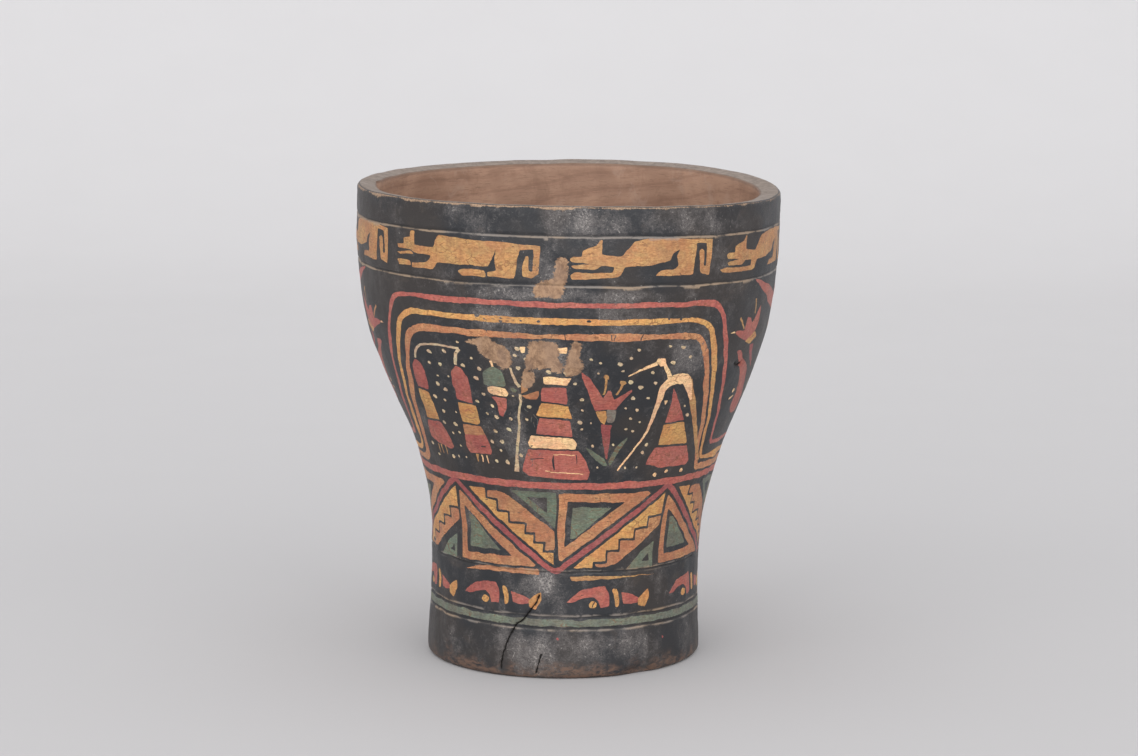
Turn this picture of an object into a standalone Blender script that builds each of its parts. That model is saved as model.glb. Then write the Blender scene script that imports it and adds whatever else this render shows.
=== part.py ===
"""A kero: a flared drinking beaker carved from one block of wood.

The cup is one solid, hollow and open at the top. It is turned from its
profile, then pushed slightly out of true, as a cup carved by hand is: it
leans, its mouth is not quite round and its lip is a little wavy. Its front
is the -Y side. All sizes are in metres, with +Z up and the foot at z = 0.
"""

import bisect
import math

import bpy
from mathutils import Vector

# Outline of the outside: each point's rise above the one below, and its mean radius
FOOT_RISE = 0.0040
FOOT_RADIUS = 0.0537
WAIST_RISE = 0.0300
WAIST_RADIUS = 0.05255
CALF_RISE = 0.0260
CALF_RADIUS = 0.0542
FLARE_RISE = 0.0240
FLARE_RADIUS = 0.0606
BELLY_RISE = 0.0240
BELLY_RADIUS = 0.07105
SHOULDER_RISE = 0.0240
SHOULDER_RADIUS = 0.07975
NECK_RISE = 0.0240
NECK_RADIUS = 0.0833
MOUTH_RISE = 0.0288
MOUTH_RADIUS = 0.0839

# Heights of the same points above the ground
WAIST_HEIGHT = FOOT_RISE + WAIST_RISE
CALF_HEIGHT = WAIST_HEIGHT + CALF_RISE
FLARE_HEIGHT = CALF_HEIGHT + FLARE_RISE
BELLY_HEIGHT = FLARE_HEIGHT + BELLY_RISE
SHOULDER_HEIGHT = BELLY_HEIGHT + SHOULDER_RISE
NECK_HEIGHT = SHOULDER_HEIGHT + NECK_RISE
CUP_HEIGHT = NECK_HEIGHT + MOUTH_RISE

# Edges, walls and floor
FOOT_EDGE = 0.0022
LIP_EDGE = 0.0016
LIP_FALL = 0.0011
LIP_WALL = 0.0081
LOWER_WALL = 0.0098
FLOOR_THICKNESS = 0.018
FLOOR_CORNER = 0.014
HOLLOW_OFFSET = -0.0005

# Bands between the incised lines round the outside, and the cut of a line
RIM_BAND = 0.0108
FRIEZE_BAND = 0.0183
FISH_BAND = 0.0176
STRIPE_BAND = 0.0043
FOOT_BAND = 0.0196
LINE_WIDTH = 0.0012
LINE_DEPTH = 0.0006

# Hand carving: the lean to +X, the bulge of that side, and the uneven mouth
LEAN = math.radians(1.04)
LEAN_START = 0.012
BULGE = 0.0008
BULGE_BELOW_FLARE = 0.0055
BULGE_REACH = 0.030
# Waves round the cup: how many, their cosine part and their sine part
MOUTH_WAVES = ((2, -0.00131, 0.00018), (3, -0.00081, -0.00045), (4, -0.00051, 0.00054))
LIP_WAVES = ((1, 0.0, 0.00079), (2, -0.00061, 0.00022), (3, -0.00036, 0.00012))

# Damage: a crack up from the foot, a chip in the foot's edge and a nick in the lip
CRACK_ANGLE = math.radians(-116.5)
CRACK_LOW = 0.0030
CRACK_HIGH = 0.0310
CRACK_RUN = 0.0163
CRACK_WIDTH = 0.0010
CRACK_DEPTH = 0.0025
CHIP_ANGLE = math.radians(-50.0)
CHIP_LENGTH = 0.0160
CHIP_HEIGHT = 0.0036
CHIP_DEPTH = 0.0022
NICK_ANGLE = math.radians(178.0)
NICK_LENGTH = 0.0150
NICK_HEIGHT = 0.0025
NICK_DEPTH = 0.0020

# Fineness of the mesh
SEGMENTS = 80
BODY_STEP = 0.0090
HOLLOW_STEP = 0.0130
CORNER_STEPS = 5
EDGE_STEPS = 3
MERGE = 0.00001

WOOD_COLOUR = (0.055, 0.042, 0.036, 1.0)
WOOD_ROUGHNESS = 0.55

OUTLINE = (
    (FOOT_RISE, FOOT_RADIUS),
    (WAIST_HEIGHT, WAIST_RADIUS),
    (CALF_HEIGHT, CALF_RADIUS),
    (FLARE_HEIGHT, FLARE_RADIUS),
    (BELLY_HEIGHT, BELLY_RADIUS),
    (SHOULDER_HEIGHT, SHOULDER_RADIUS),
    (NECK_HEIGHT, NECK_RADIUS),
    (CUP_HEIGHT, MOUTH_RADIUS),
)

INCISED_LINES = (
    CUP_HEIGHT - RIM_BAND,
    CUP_HEIGHT - RIM_BAND - FRIEZE_BAND,
    FOOT_BAND + STRIPE_BAND + FISH_BAND,
    FOOT_BAND + STRIPE_BAND,
    FOOT_BAND,
)


def clear_scene():
    """Remove the objects that the file starts with."""
    for item in list(bpy.data.objects):
        bpy.data.objects.remove(item, do_unlink=True)


def make_collection(name):
    """A new collection in the scene."""
    collection = bpy.data.collections.new(name)
    bpy.context.scene.collection.children.link(collection)
    return collection


def make_wood():
    """Dark lacquered wood."""
    material = bpy.data.materials.new("dark_wood")
    material.use_nodes = True
    shader = material.node_tree.nodes["Principled BSDF"]
    shader.inputs["Base Color"].default_value = WOOD_COLOUR
    shader.inputs["Roughness"].default_value = WOOD_ROUGHNESS
    shader.inputs["Metallic"].default_value = 0.0
    return material


def blend(low, high, value):
    """A smooth step from 0 at low to 1 at high."""
    share = min(max((value - low) / (high - low), 0.0), 1.0)
    return share * share * (3.0 - 2.0 * share)


def outline_slopes():
    """How fast the radius grows at each point of the outline."""
    rises = [
        (after[1] - before[1]) / (after[0] - before[0])
        for before, after in zip(OUTLINE, OUTLINE[1:])
    ]
    slopes = [rises[0]]
    for index in range(1, len(rises)):
        below = OUTLINE[index][0] - OUTLINE[index - 1][0]
        above = OUTLINE[index + 1][0] - OUTLINE[index][0]
        slopes.append((below * rises[index] + above * rises[index - 1]) / (below + above))
    slopes.append(0.0)
    return slopes


def outer_radius(height):
    """Mean outside radius at a height, on a smooth curve through the outline."""
    heights = [point[0] for point in OUTLINE]
    if height <= heights[0]:
        return FOOT_RADIUS
    index = min(bisect.bisect_right(heights, height), len(heights) - 1)
    (low, low_radius), (high, high_radius) = OUTLINE[index - 1], OUTLINE[index]
    slopes = outline_slopes()
    span = high - low
    share = min((height - low) / span, 1.0)
    rise = share * share * (3.0 - 2.0 * share)
    leave = share * (1.0 - share) ** 2
    arrive = -share * share * (1.0 - share)
    bend = span * (leave * slopes[index - 1] + arrive * slopes[index])
    return low_radius + (high_radius - low_radius) * rise + bend


def inner_radius(height):
    """Mean inside radius at a height: the outside less the wall."""
    wall = LOWER_WALL + (LIP_WALL - LOWER_WALL) * height / CUP_HEIGHT
    return outer_radius(height) - wall


def hollow_profile():
    """The inside, from the middle of its floor up to the lip."""
    points = [(0.0, FLOOR_THICKNESS)]
    corner_top = FLOOR_THICKNESS + FLOOR_CORNER
    floor_edge = inner_radius(corner_top) - FLOOR_CORNER
    for step in range(CORNER_STEPS + 1):
        turn = math.radians(90.0) * step / CORNER_STEPS
        points.append((
            floor_edge + FLOOR_CORNER * math.sin(turn),
            corner_top - FLOOR_CORNER * math.cos(turn),
        ))
    top = CUP_HEIGHT - LIP_FALL
    steps = max(round((top - corner_top) / HOLLOW_STEP), 2)
    for step in range(1, steps + 1):
        height = corner_top + (top - corner_top) * step / steps
        points.append((inner_radius(height), height))
    return points


def lip_edge_profile():
    """The lip's rounded outer edge, from its flat top to its side."""
    points = []
    for step in range(EDGE_STEPS + 1):
        turn = math.radians(90.0) * step / EDGE_STEPS
        points.append((
            MOUTH_RADIUS - LIP_EDGE + LIP_EDGE * math.sin(turn),
            CUP_HEIGHT - LIP_EDGE + LIP_EDGE * math.cos(turn),
        ))
    return points


def side_profile():
    """The outside from below the lip to above the foot, with its incised lines."""
    half = LINE_WIDTH / 2.0
    marks = []
    for line in INCISED_LINES:
        marks.append((line + half, 0.0))
        marks.append((line, LINE_DEPTH))
        marks.append((line - half, 0.0))
    top = CUP_HEIGHT - LIP_EDGE
    bottom = FOOT_EDGE
    steps = round((top - bottom) / BODY_STEP)
    for step in range(1, steps):
        height = top + (bottom - top) * step / steps
        nearest = min(abs(height - line) for line in INCISED_LINES)
        if nearest > LINE_WIDTH * 1.5:
            marks.append((height, 0.0))
    marks.sort(reverse=True)
    return [(outer_radius(height) - cut, height) for height, cut in marks]


def foot_edge_profile():
    """The foot's rounded edge and its flat underside, in to the middle."""
    points = []
    for step in range(EDGE_STEPS + 1):
        turn = math.radians(90.0) * step / EDGE_STEPS
        points.append((
            FOOT_RADIUS - FOOT_EDGE + FOOT_EDGE * math.cos(turn),
            FOOT_EDGE - FOOT_EDGE * math.sin(turn),
        ))
    points.append((0.0, 0.0))
    return points


def waves(terms, angle):
    """The sum of a set of waves round the cup."""
    return sum(
        cosine * math.cos(count * angle) + sine * math.sin(count * angle)
        for count, cosine, sine in terms
    )


def hand_carved(point):
    """Where a point of the true turned cup lies on the cup as carved."""
    radius = math.hypot(point.x, point.y)
    angle = math.atan2(point.y, point.x)
    height = point.z
    uneven = blend(CALF_HEIGHT, NECK_HEIGHT, height)
    stretch = 1.0 + uneven * waves(MOUTH_WAVES, angle) / MOUTH_RADIUS
    x = radius * stretch * math.cos(angle)
    y = radius * stretch * math.sin(angle)
    z = height + blend(BELLY_HEIGHT, CUP_HEIGHT, height) * waves(LIP_WAVES, angle)
    tilt = LEAN * min(height / LEAN_START, 1.0)
    above_bulge = height - (FLARE_HEIGHT - BULGE_BELOW_FLARE)
    bulge = BULGE * math.exp(-((above_bulge / BULGE_REACH) ** 2))
    return Vector((
        x * math.cos(tilt) + z * math.sin(LEAN) + bulge,
        y,
        z - x * math.sin(tilt),
    ))


def is_hollow(point):
    """Whether a point of the true turned cup is on its inside."""
    if point.z < FLOOR_THICKNESS - MERGE:
        return False
    return math.hypot(point.x, point.y) < inner_radius(point.z) + LIP_WALL / 2.0


def carve(mesh):
    """Move the turned cup's points to the carved cup's places."""
    for vertex in mesh.vertices:
        point = vertex.co.copy()
        offset = HOLLOW_OFFSET if is_hollow(point) else 0.0
        vertex.co = hand_carved(point) + Vector((offset, 0.0, 0.0))


def middle_of(mesh):
    """The middle of the mesh's box, seen from above."""
    xs = [vertex.co.x for vertex in mesh.vertices]
    ys = [vertex.co.y for vertex in mesh.vertices]
    return Vector(((min(xs) + max(xs)) / 2.0, (min(ys) + max(ys)) / 2.0, 0.0))


def turned_mesh():
    """The true turned cup: its closed profile swept round the axis."""
    profile = hollow_profile() + lip_edge_profile() + side_profile() + foot_edge_profile()
    mesh = bpy.data.meshes.new("profile")
    corners = [(radius, 0.0, height) for radius, height in profile]
    edges = [(index, index + 1) for index in range(len(corners) - 1)]
    mesh.from_pydata(corners, edges, [])
    turned = bpy.data.objects.new("profile", mesh)
    bpy.context.scene.collection.objects.link(turned)
    screw = turned.modifiers.new("turn", "SCREW")
    screw.axis = "Z"
    screw.angle = math.radians(360.0)
    screw.steps = SEGMENTS
    screw.render_steps = SEGMENTS
    screw.use_merge_vertices = True
    screw.merge_threshold = MERGE
    depsgraph = bpy.context.evaluated_depsgraph_get()
    result = bpy.data.meshes.new_from_object(turned.evaluated_get(depsgraph))
    bpy.data.objects.remove(turned, do_unlink=True)
    return result


def on_side(angle, height, outward, shift):
    """A point a given way outside the carved cup's side."""
    radius = outer_radius(height) + outward
    true_point = Vector((radius * math.cos(angle), radius * math.sin(angle), height))
    return hand_carved(true_point) - shift


def add_cutter(name, corners, faces, collection):
    """A closed tool that a Boolean takes out of the cup."""
    mesh = bpy.data.meshes.new(name)
    mesh.from_pydata(corners, [], faces)
    cutter = bpy.data.objects.new(name, mesh)
    cutter.hide_render = True
    cutter.display_type = "WIRE"
    collection.objects.link(cutter)
    return cutter


def crack_cutter(collection, shift):
    """A thin wedge that follows the crack in the foot, narrow at both ends."""
    # Each bend: its share of the rise, its share of the run, and its share of the width
    bends = (
        (0.0, 0.0, 0.4),
        (0.38, 0.15, 1.0),
        (0.50, 0.25, 1.0),
        (0.62, 0.37, 1.0),
        (0.66, 0.52, 0.9),
        (0.90, 0.90, 0.7),
        (1.0, 1.0, 0.3),
    )
    corners = []
    for rise, run, width in bends:
        height = CRACK_LOW + (CRACK_HIGH - CRACK_LOW) * rise
        half = CRACK_WIDTH * width / 2.0
        for side in (-1.0, 1.0):
            along = (CRACK_RUN * run + side * half) / WAIST_RADIUS
            corners.append(on_side(CRACK_ANGLE + along, height, CRACK_DEPTH, shift))
        along = CRACK_RUN * run / WAIST_RADIUS
        corners.append(on_side(CRACK_ANGLE + along, height, -CRACK_DEPTH, shift))
    faces = [(2, 1, 0)]
    for ring in range(len(bends) - 1):
        low, high = ring * 3, ring * 3 + 3
        faces.append((low, low + 1, high + 1, high))
        faces.append((low + 1, low + 2, high + 2, high + 1))
        faces.append((low + 2, low, high, high + 2))
    last = (len(bends) - 1) * 3
    faces.append((last, last + 1, last + 2))
    return add_cutter("crack_cutter", corners, faces, collection)


def ball_cutter(name, centre, radii, angle, collection):
    """A stretched ball turned to face out of the cup at an angle."""
    bpy.ops.mesh.primitive_ico_sphere_add(subdivisions=2, radius=1.0, location=centre)
    cutter = bpy.context.active_object
    cutter.name = name
    cutter.scale = radii
    cutter.rotation_euler = (0.0, 0.0, angle)
    cutter.hide_render = True
    cutter.display_type = "WIRE"
    for owner in list(cutter.users_collection):
        owner.objects.unlink(cutter)
    collection.objects.link(cutter)
    return cutter


def chip_cutter(collection, shift):
    """A shallow scoop out of the foot's lower edge."""
    centre = on_side(CHIP_ANGLE, 0.0, 0.0, shift)
    radii = (CHIP_DEPTH, CHIP_LENGTH / 2.0, CHIP_HEIGHT)
    return ball_cutter("chip_cutter", centre, radii, CHIP_ANGLE, collection)


def nick_cutter(collection, shift):
    """A small nick in the inner edge of the lip."""
    height = CUP_HEIGHT - LIP_FALL
    centre = on_side(NICK_ANGLE, height, -LIP_WALL, shift)
    radii = (NICK_DEPTH, NICK_LENGTH / 2.0, NICK_HEIGHT)
    return ball_cutter("nick_cutter", centre, radii, NICK_ANGLE, collection)


def cut(cup, cutter):
    """Take a cutter out of the cup."""
    boolean = cup.modifiers.new(cutter.name, "BOOLEAN")
    boolean.operation = "DIFFERENCE"
    boolean.solver = "EXACT"
    boolean.object = cutter


def build_cup():
    """The whole cup, on the origin, with its damage cut in."""
    parts = make_collection("kero_cup")
    cutters = make_collection("cutters")
    mesh = turned_mesh()
    carve(mesh)
    shift = middle_of(mesh)
    for vertex in mesh.vertices:
        vertex.co -= shift
    mesh.name = "kero_cup"
    mesh.materials.append(make_wood())
    mesh.shade_smooth()
    mesh.set_sharp_from_angle(angle=math.radians(35.0))
    cup = bpy.data.objects.new("kero_cup", mesh)
    parts.objects.link(cup)
    cut(cup, crack_cutter(cutters, shift))
    cut(cup, chip_cutter(cutters, shift))
    cut(cup, nick_cutter(cutters, shift))


clear_scene()
build_cup()
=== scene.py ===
"""Looks of the kero: a carved wooden beaker with coloured inlay on dark lacquer.

The outer side is drawn flat, as a sheet of u (along the turn) and h (height),
both in millimetres, then wrapped round the carved cup. u = 0 is the front.
"""

import math

import bpy
import numpy as np
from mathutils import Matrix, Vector
from mathutils.geometry import delaunay_2d_cdt
from mathutils.kdtree import KDTree


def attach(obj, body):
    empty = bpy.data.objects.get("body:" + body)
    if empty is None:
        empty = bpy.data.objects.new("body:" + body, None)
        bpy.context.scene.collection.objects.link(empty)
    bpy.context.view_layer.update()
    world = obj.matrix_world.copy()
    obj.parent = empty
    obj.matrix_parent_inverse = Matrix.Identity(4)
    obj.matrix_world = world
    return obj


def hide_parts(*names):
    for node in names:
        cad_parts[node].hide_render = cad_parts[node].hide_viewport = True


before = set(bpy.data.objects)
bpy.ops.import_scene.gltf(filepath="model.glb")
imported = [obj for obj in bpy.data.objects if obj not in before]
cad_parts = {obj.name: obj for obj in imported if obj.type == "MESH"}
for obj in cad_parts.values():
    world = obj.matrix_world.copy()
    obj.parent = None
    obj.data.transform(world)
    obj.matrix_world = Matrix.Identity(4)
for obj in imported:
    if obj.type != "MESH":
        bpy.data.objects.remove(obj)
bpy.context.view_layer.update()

MM = 0.001
FAR = 1000.0

# The cup's outside: heights and mean radii, in millimetres
HEIGHTS = np.array([4.0, 34.0, 60.0, 84.0, 108.0, 132.0, 156.0, 184.8])
RADII = np.array([53.7, 52.55, 54.2, 60.6, 71.05, 79.75, 83.3, 83.9])
TOP = 184.8
LIP_EDGE = 1.6
LIP_FALL = 1.1
LIP_WALL = 8.1
LOWER_WALL = 9.8
FLOOR = 18.0
FLOOR_CORNER = 14.0
FOOT_EDGE = 2.2
HOLLOW_OFFSET = -0.5

# Hand carving
LEAN = math.radians(1.04)
LEAN_START = 12.0
BULGE = 0.8
BULGE_HEIGHT = 78.5
BULGE_REACH = 30.0
MOUTH_WAVES = ((2, -1.31, 0.18), (3, -0.81, -0.45), (4, -0.51, 0.54))
LIP_WAVES = ((1, 0.0, 0.79), (2, -0.61, 0.22), (3, -0.36, 0.12))

# The sheet
SCALE = 66.0
TURN = 2.0 * math.pi * SCALE
HALF_TURN = TURN / 2.0
LOW = FOOT_EDGE
HIGH = TOP - LIP_EDGE
GRID = 1.3
SEGMENTS = 320

# The incised lines: heights, and how worn and pale each one's lower and upper edges are, the paleness being
# wear and a painted highlight
LINES = (174.0, 155.7, 41.5, 23.9, 19.6)
LINE_WEAR_AND_HIGHLIGHT = ((1.0, 0.15), (1.0, 0.2), (0.3, 0.5), (0.2, 0.7), (0.6, 0.2))
LINE_HALF = 0.6
LINE_DEPTH = 0.6

# The drawing's places: the front arch's middle, the zigzag's corners by turns at the top
# and at the bottom, and where each fish starts, as far as they show from the front
ARCH = -7.0
CORNERS = (-57.0, -5.0, 48.0, 93.2)
FISH = (-103.0, -53.7, 1.0, 57.6)
FRIEZE = LINES[1]

# The dots over the ground: how far apart, how far out of line, and their least and most radius
DOTS_APART = 4.8
DOTS_ASTRAY = 1.25
DOT_RADII = (0.36, 0.84)
# How far they keep from the ground's edge and from a figure
DOTS_INSIDE = 1.5
DOTS_CLEAR = 1.2

# How far a hand strays from an outline, and how far a line goes on past the sheet's ends
WOBBLE = 0.08
OVERLAP = 12.0

PAINTS = {
    "black": (0.045, 0.042, 0.043),
    "ochre": (0.44, 0.245, 0.108),
    "yellow": (0.55, 0.297, 0.114),
    "orange": (0.44, 0.21, 0.11),
    "red": (0.385, 0.121, 0.101),
    "crimson": (0.305, 0.088, 0.088),
    "green": (0.142, 0.168, 0.128),
    "cream": (0.82, 0.53, 0.30),
    "pale": (0.60, 0.47, 0.31),
    "scratch": (0.105, 0.110, 0.110),
    "grey": (0.22, 0.20, 0.17),
}


# Shape of the cup


def slopes():
    """Slope of the outline at each of its points."""
    rises = np.diff(RADII) / np.diff(HEIGHTS)
    spans = np.diff(HEIGHTS)
    middle = (spans[:-1] * rises[1:] + spans[1:] * rises[:-1]) / (spans[:-1] + spans[1:])
    return np.concatenate([[rises[0]], middle, [0.0]])


SLOPES = slopes()


def outer_radius(height):
    """Mean outside radius at each height."""
    height = np.asarray(height, float)
    index = np.clip(np.searchsorted(HEIGHTS, height, side="right"), 1, len(HEIGHTS) - 1)
    low, high = HEIGHTS[index - 1], HEIGHTS[index]
    span = high - low
    share = np.clip((height - low) / span, 0.0, 1.0)
    rise = share * share * (3.0 - 2.0 * share)
    leave = share * (1.0 - share) ** 2 * SLOPES[index - 1]
    arrive = -share * share * (1.0 - share) * SLOPES[index]
    radius = RADII[index - 1] + (RADII[index] - RADII[index - 1]) * rise + span * (leave + arrive)
    return np.where(height <= HEIGHTS[0], RADII[0], radius)


def inner_radius(height):
    """Mean inside radius at each height."""
    return outer_radius(height) - LOWER_WALL - (LIP_WALL - LOWER_WALL) * height / TOP


def blend(low, high, value):
    """A smooth step from 0 at low to 1 at high."""
    share = np.clip((value - low) / (high - low), 0.0, 1.0)
    return share * share * (3.0 - 2.0 * share)


def waves(terms, angle):
    """The sum of a set of waves round the cup."""
    return sum(c * np.cos(n * angle) + s * np.sin(n * angle) for n, c, s in terms)


def carved(radius, angle, height, inside=0.0):
    """Places on the carved cup, in millimetres, of points of the true turned one."""
    stretch = 1.0 + blend(60.0, 156.0, height) * waves(MOUTH_WAVES, angle) / RADII[-1]
    x = radius * stretch * np.cos(angle)
    y = radius * stretch * np.sin(angle)
    z = height + blend(108.0, TOP, height) * waves(LIP_WAVES, angle)
    tilt = LEAN * np.clip(height / LEAN_START, None, 1.0)
    bulge = BULGE * np.exp(-(((height - BULGE_HEIGHT) / BULGE_REACH) ** 2))
    return np.stack(
        [
            x * np.cos(tilt) + z * math.sin(LEAN) + bulge + HOLLOW_OFFSET * inside,
            y,
            z - x * np.sin(tilt),
        ],
        axis=-1,
    )


def field(u, h, seed, size):
    """Smooth random values about 0, with bumps of this size, the same after a full turn."""
    rng = np.random.default_rng(seed)
    total = np.zeros(np.shape(u))
    terms = 18
    for _ in range(terms):
        way = rng.uniform(0.0, 2.0 * math.pi)
        pace = rng.uniform(0.5, 1.4) / size
        turns = round(math.cos(way) * pace * TURN)
        start = rng.uniform(0.0, 2.0 * math.pi)
        total += np.sin(2.0 * math.pi * (turns * u / TURN + math.sin(way) * pace * h) + start)
    return total / math.sqrt(terms / 2.0)


# Drawing


def resample(points, step, closed=True):
    """Points along a line, no further apart than step, with its corners kept."""
    points = np.asarray(points, float)
    ends = np.roll(points, -1, axis=0) if closed else points[1:]
    starts = points if closed else points[:-1]
    out = []
    for a, b in zip(starts, ends):
        count = max(int(math.ceil(np.hypot(*(b - a)) / step)), 1)
        shares = np.arange(count)[:, None] / count
        out.append(a + (b - a) * shares)
    if not closed:
        out.append(points[-1:])
    return np.concatenate(out)


def curve(points, pieces=5):
    """A smooth curve through a few points."""
    points = np.asarray(points, float)
    ends = np.concatenate([[2 * points[0] - points[1]], points, [2 * points[-1] - points[-2]]])
    out = []
    for i in range(len(points) - 1):
        a, b, c, d = ends[i : i + 4]
        bend = 2 * a - 5 * b + 4 * c - d
        twist = 3 * b - a - 3 * c + d
        for t in np.arange(pieces) / pieces:
            out.append(0.5 * (2 * b + (c - a) * t + bend * t * t + twist * t * t * t))
    out.append(points[-1])
    return np.array(out)


def ribbon(points, widths):
    """The outline of a line of changing width."""
    points = np.asarray(points, float)
    widths = np.atleast_1d(widths)
    widths = np.interp(np.linspace(0, 1, len(points)), np.linspace(0, 1, len(widths)), widths)
    ways = np.gradient(points, axis=0)
    ways /= np.maximum(np.hypot(ways[:, 0], ways[:, 1]), 1e-9)[:, None]
    side = np.stack([-ways[:, 1], ways[:, 0]], axis=1) * widths[:, None] / 2.0
    return np.concatenate([points + side, (points - side)[::-1]])


def rounded(points, radii):
    """A line with each corner rounded by its own radius."""
    points = [np.array(p, float) for p in points]
    out = [points[0]]
    for before, corner, after, most in zip(points, points[1:], points[2:], radii[1:]):
        a = before - corner
        b = after - corner
        cut = min(most, np.hypot(*a) / 2.0, np.hypot(*b) / 2.0)
        start = corner + a / np.hypot(*a) * cut
        end = corner + b / np.hypot(*b) * cut
        for t in np.linspace(0.0, 1.0, 6):
            out.append(start * (1 - t) ** 2 + corner * 2 * t * (1 - t) + end * t * t)
    out.append(points[-1])
    return np.array(out)


def past_both_ends(corners, radii):
    """A line with rounded corners, cut off just beyond the sheet's two ends."""
    path = resample(rounded(corners, radii), 1.2, False)
    return path[np.abs(path[:, 0]) < HALF_TURN + OVERLAP]


def all_round(places):
    """These places and four more, evenly over the rest of the turn."""
    rest = (TURN + places[0] - places[-1]) / 5.0
    return list(places) + [places[-1] + rest * step for step in range(1, 5)]


def clipped(points, edge, keep_above):
    """The part of a closed outline on one side of u = edge."""
    out = []
    for a, b in zip(points, np.roll(points, -1, axis=0)):
        a_in = (a[0] >= edge) if keep_above else (a[0] <= edge)
        b_in = (b[0] >= edge) if keep_above else (b[0] <= edge)
        if a_in:
            out.append(a)
        if a_in != b_in:
            share = (edge - a[0]) / (b[0] - a[0])
            out.append(np.array([edge, a[1] + (b[1] - a[1]) * share]))
    return np.array(out) if len(out) > 2 else np.zeros((0, 2))


# Every outline as its paint, points and figure, and the number of the last figure
shapes = []
figure = [0]


def shaken(points, seeds, size):
    """How far a hand strays at each point, along and up."""
    return np.stack([field(points[:, 0], points[:, 1], seed, size) for seed in seeds], axis=1)


def add_shape(paint, points, step=0.9, soften=0.0):
    """Adds an outline to the drawing, as a hand would cut it."""
    points = resample(points, step)
    if soften:
        beside = (np.roll(points, 1, axis=0) + np.roll(points, -1, axis=0)) / 2.0
        points = points + (beside - points) * soften
    stray = 1.5 * shaken(points, (1, 2), 10.0) + 0.7 * shaken(points, (3, 4), 2.4)
    points = points + WOBBLE * stray
    whole = np.ptp(points[:, 0]) >= TURN
    for turn in (0,) if whole else (-1, 0, 1):
        part = points + np.array([turn * TURN, 0.0])
        if part[:, 0].max() <= -HALF_TURN or part[:, 0].min() >= HALF_TURN:
            continue
        if part[:, 0].min() < -HALF_TURN:
            part = clipped(part, -HALF_TURN, True)
        if len(part) and part[:, 0].max() > HALF_TURN:
            part = clipped(part, HALF_TURN, False)
        if len(part):
            shapes.append((paint, part, figure[0]))


class Pen:
    """Draws one figure at a place on the sheet, mirrored or scaled if wanted."""

    def __init__(self, across=0.0, up=0.0, wide=1.0, tall=1.0):
        figure[0] += 1
        self.move = np.array([across, up])
        self.size = np.array([wide, tall])

    def at(self, points):
        return np.asarray(points, float) * self.size + self.move

    def fill(self, paint, *points):
        """A filled shape with slightly softened corners."""
        add_shape(paint, self.at(points), soften=0.28)

    def bend(self, paint, *points):
        """A filled shape with a smooth outline."""
        loop = np.array(points + points[:3], float)
        add_shape(paint, self.at(curve(loop, 4)[4:-4]))

    def line(self, paint, widths, *points):
        """A smooth line of one width, or of several from its start to its end."""
        add_shape(paint, self.at(ribbon(curve(points), widths)))

    def dot(self, paint, x, h, radius):
        """A small uneven disc."""
        turns = np.arange(8) * math.pi / 4.0
        lobes = 0.10 * np.sin(3.0 * turns + 5.0 * x)
        reach = radius * (1.0 + lobes + 0.16 * np.cos(2.0 * turns + 0.9 + 0.6 * math.sin(h)))
        ring = np.stack([x + reach * np.cos(turns), h + 1.05 * reach * np.sin(turns)], axis=1)
        add_shape(paint, self.at(ring), step=9.0)


def band(paint, low, high):
    """A stripe all round the cup."""
    figure[0] += 1
    over = HALF_TURN + 3.0
    add_shape(paint, [(-over, low), (over, low), (over, high), (-over, high)])


def puma(left, length):
    """A puma facing left, crouched, with its tail curled down behind it."""
    pen = Pen(left, FRIEZE, length / 49.2)
    pen.fill(
        "ochre", (-0.5, 11.5), (2.6, 11.8), (2.6, 14.3), (5.6, 14.5), (6.1, 17.0), (7.4, 17.0),
        (7.2, 12.0), (14.6, 11.7), (15.9, 15.7), (16.8, 16.5), (25.6, 15.6), (34.9, 15.4), (49.1, 14.4),
        (48.5, 3.7), (46.2, 2.5), (43.5, 3.0), (43.2, 5.3), (44.1, 10.1), (45.3, 10.4), (45.3, 4.9),
        (46.4, 4.5), (47.1, 13.0), (42.5, 12.9), (41.2, 2.0), (32.7, 2.3), (32.8, 4.0), (35.6, 4.4),
        (35.0, 9.1), (35.7, 12.7), (33.2, 6.2), (22.2, 6.0), (15.9, 6.1), (14.4, 3.3), (6.4, 3.1),
        (6.2, 5.0), (12.1, 5.7), (13.6, 8.5), (7.1, 9.0), (6.1, 9.8), (-0.1, 10.0),
    )
    pen.fill("ochre", (-0.5, 8.2), (6.1, 9.4), (7.0, 8.4), (1.3, 7.5))
    pen.fill("ochre", (-0.2, 5.6), (5.4, 5.6), (5.9, 3.7), (0.6, 3.5))
    pen.fill("ochre", (23.0, 3.9), (24.3, 4.5), (32.1, 4.7), (32.1, 1.9), (24.3, 2.1))


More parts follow.
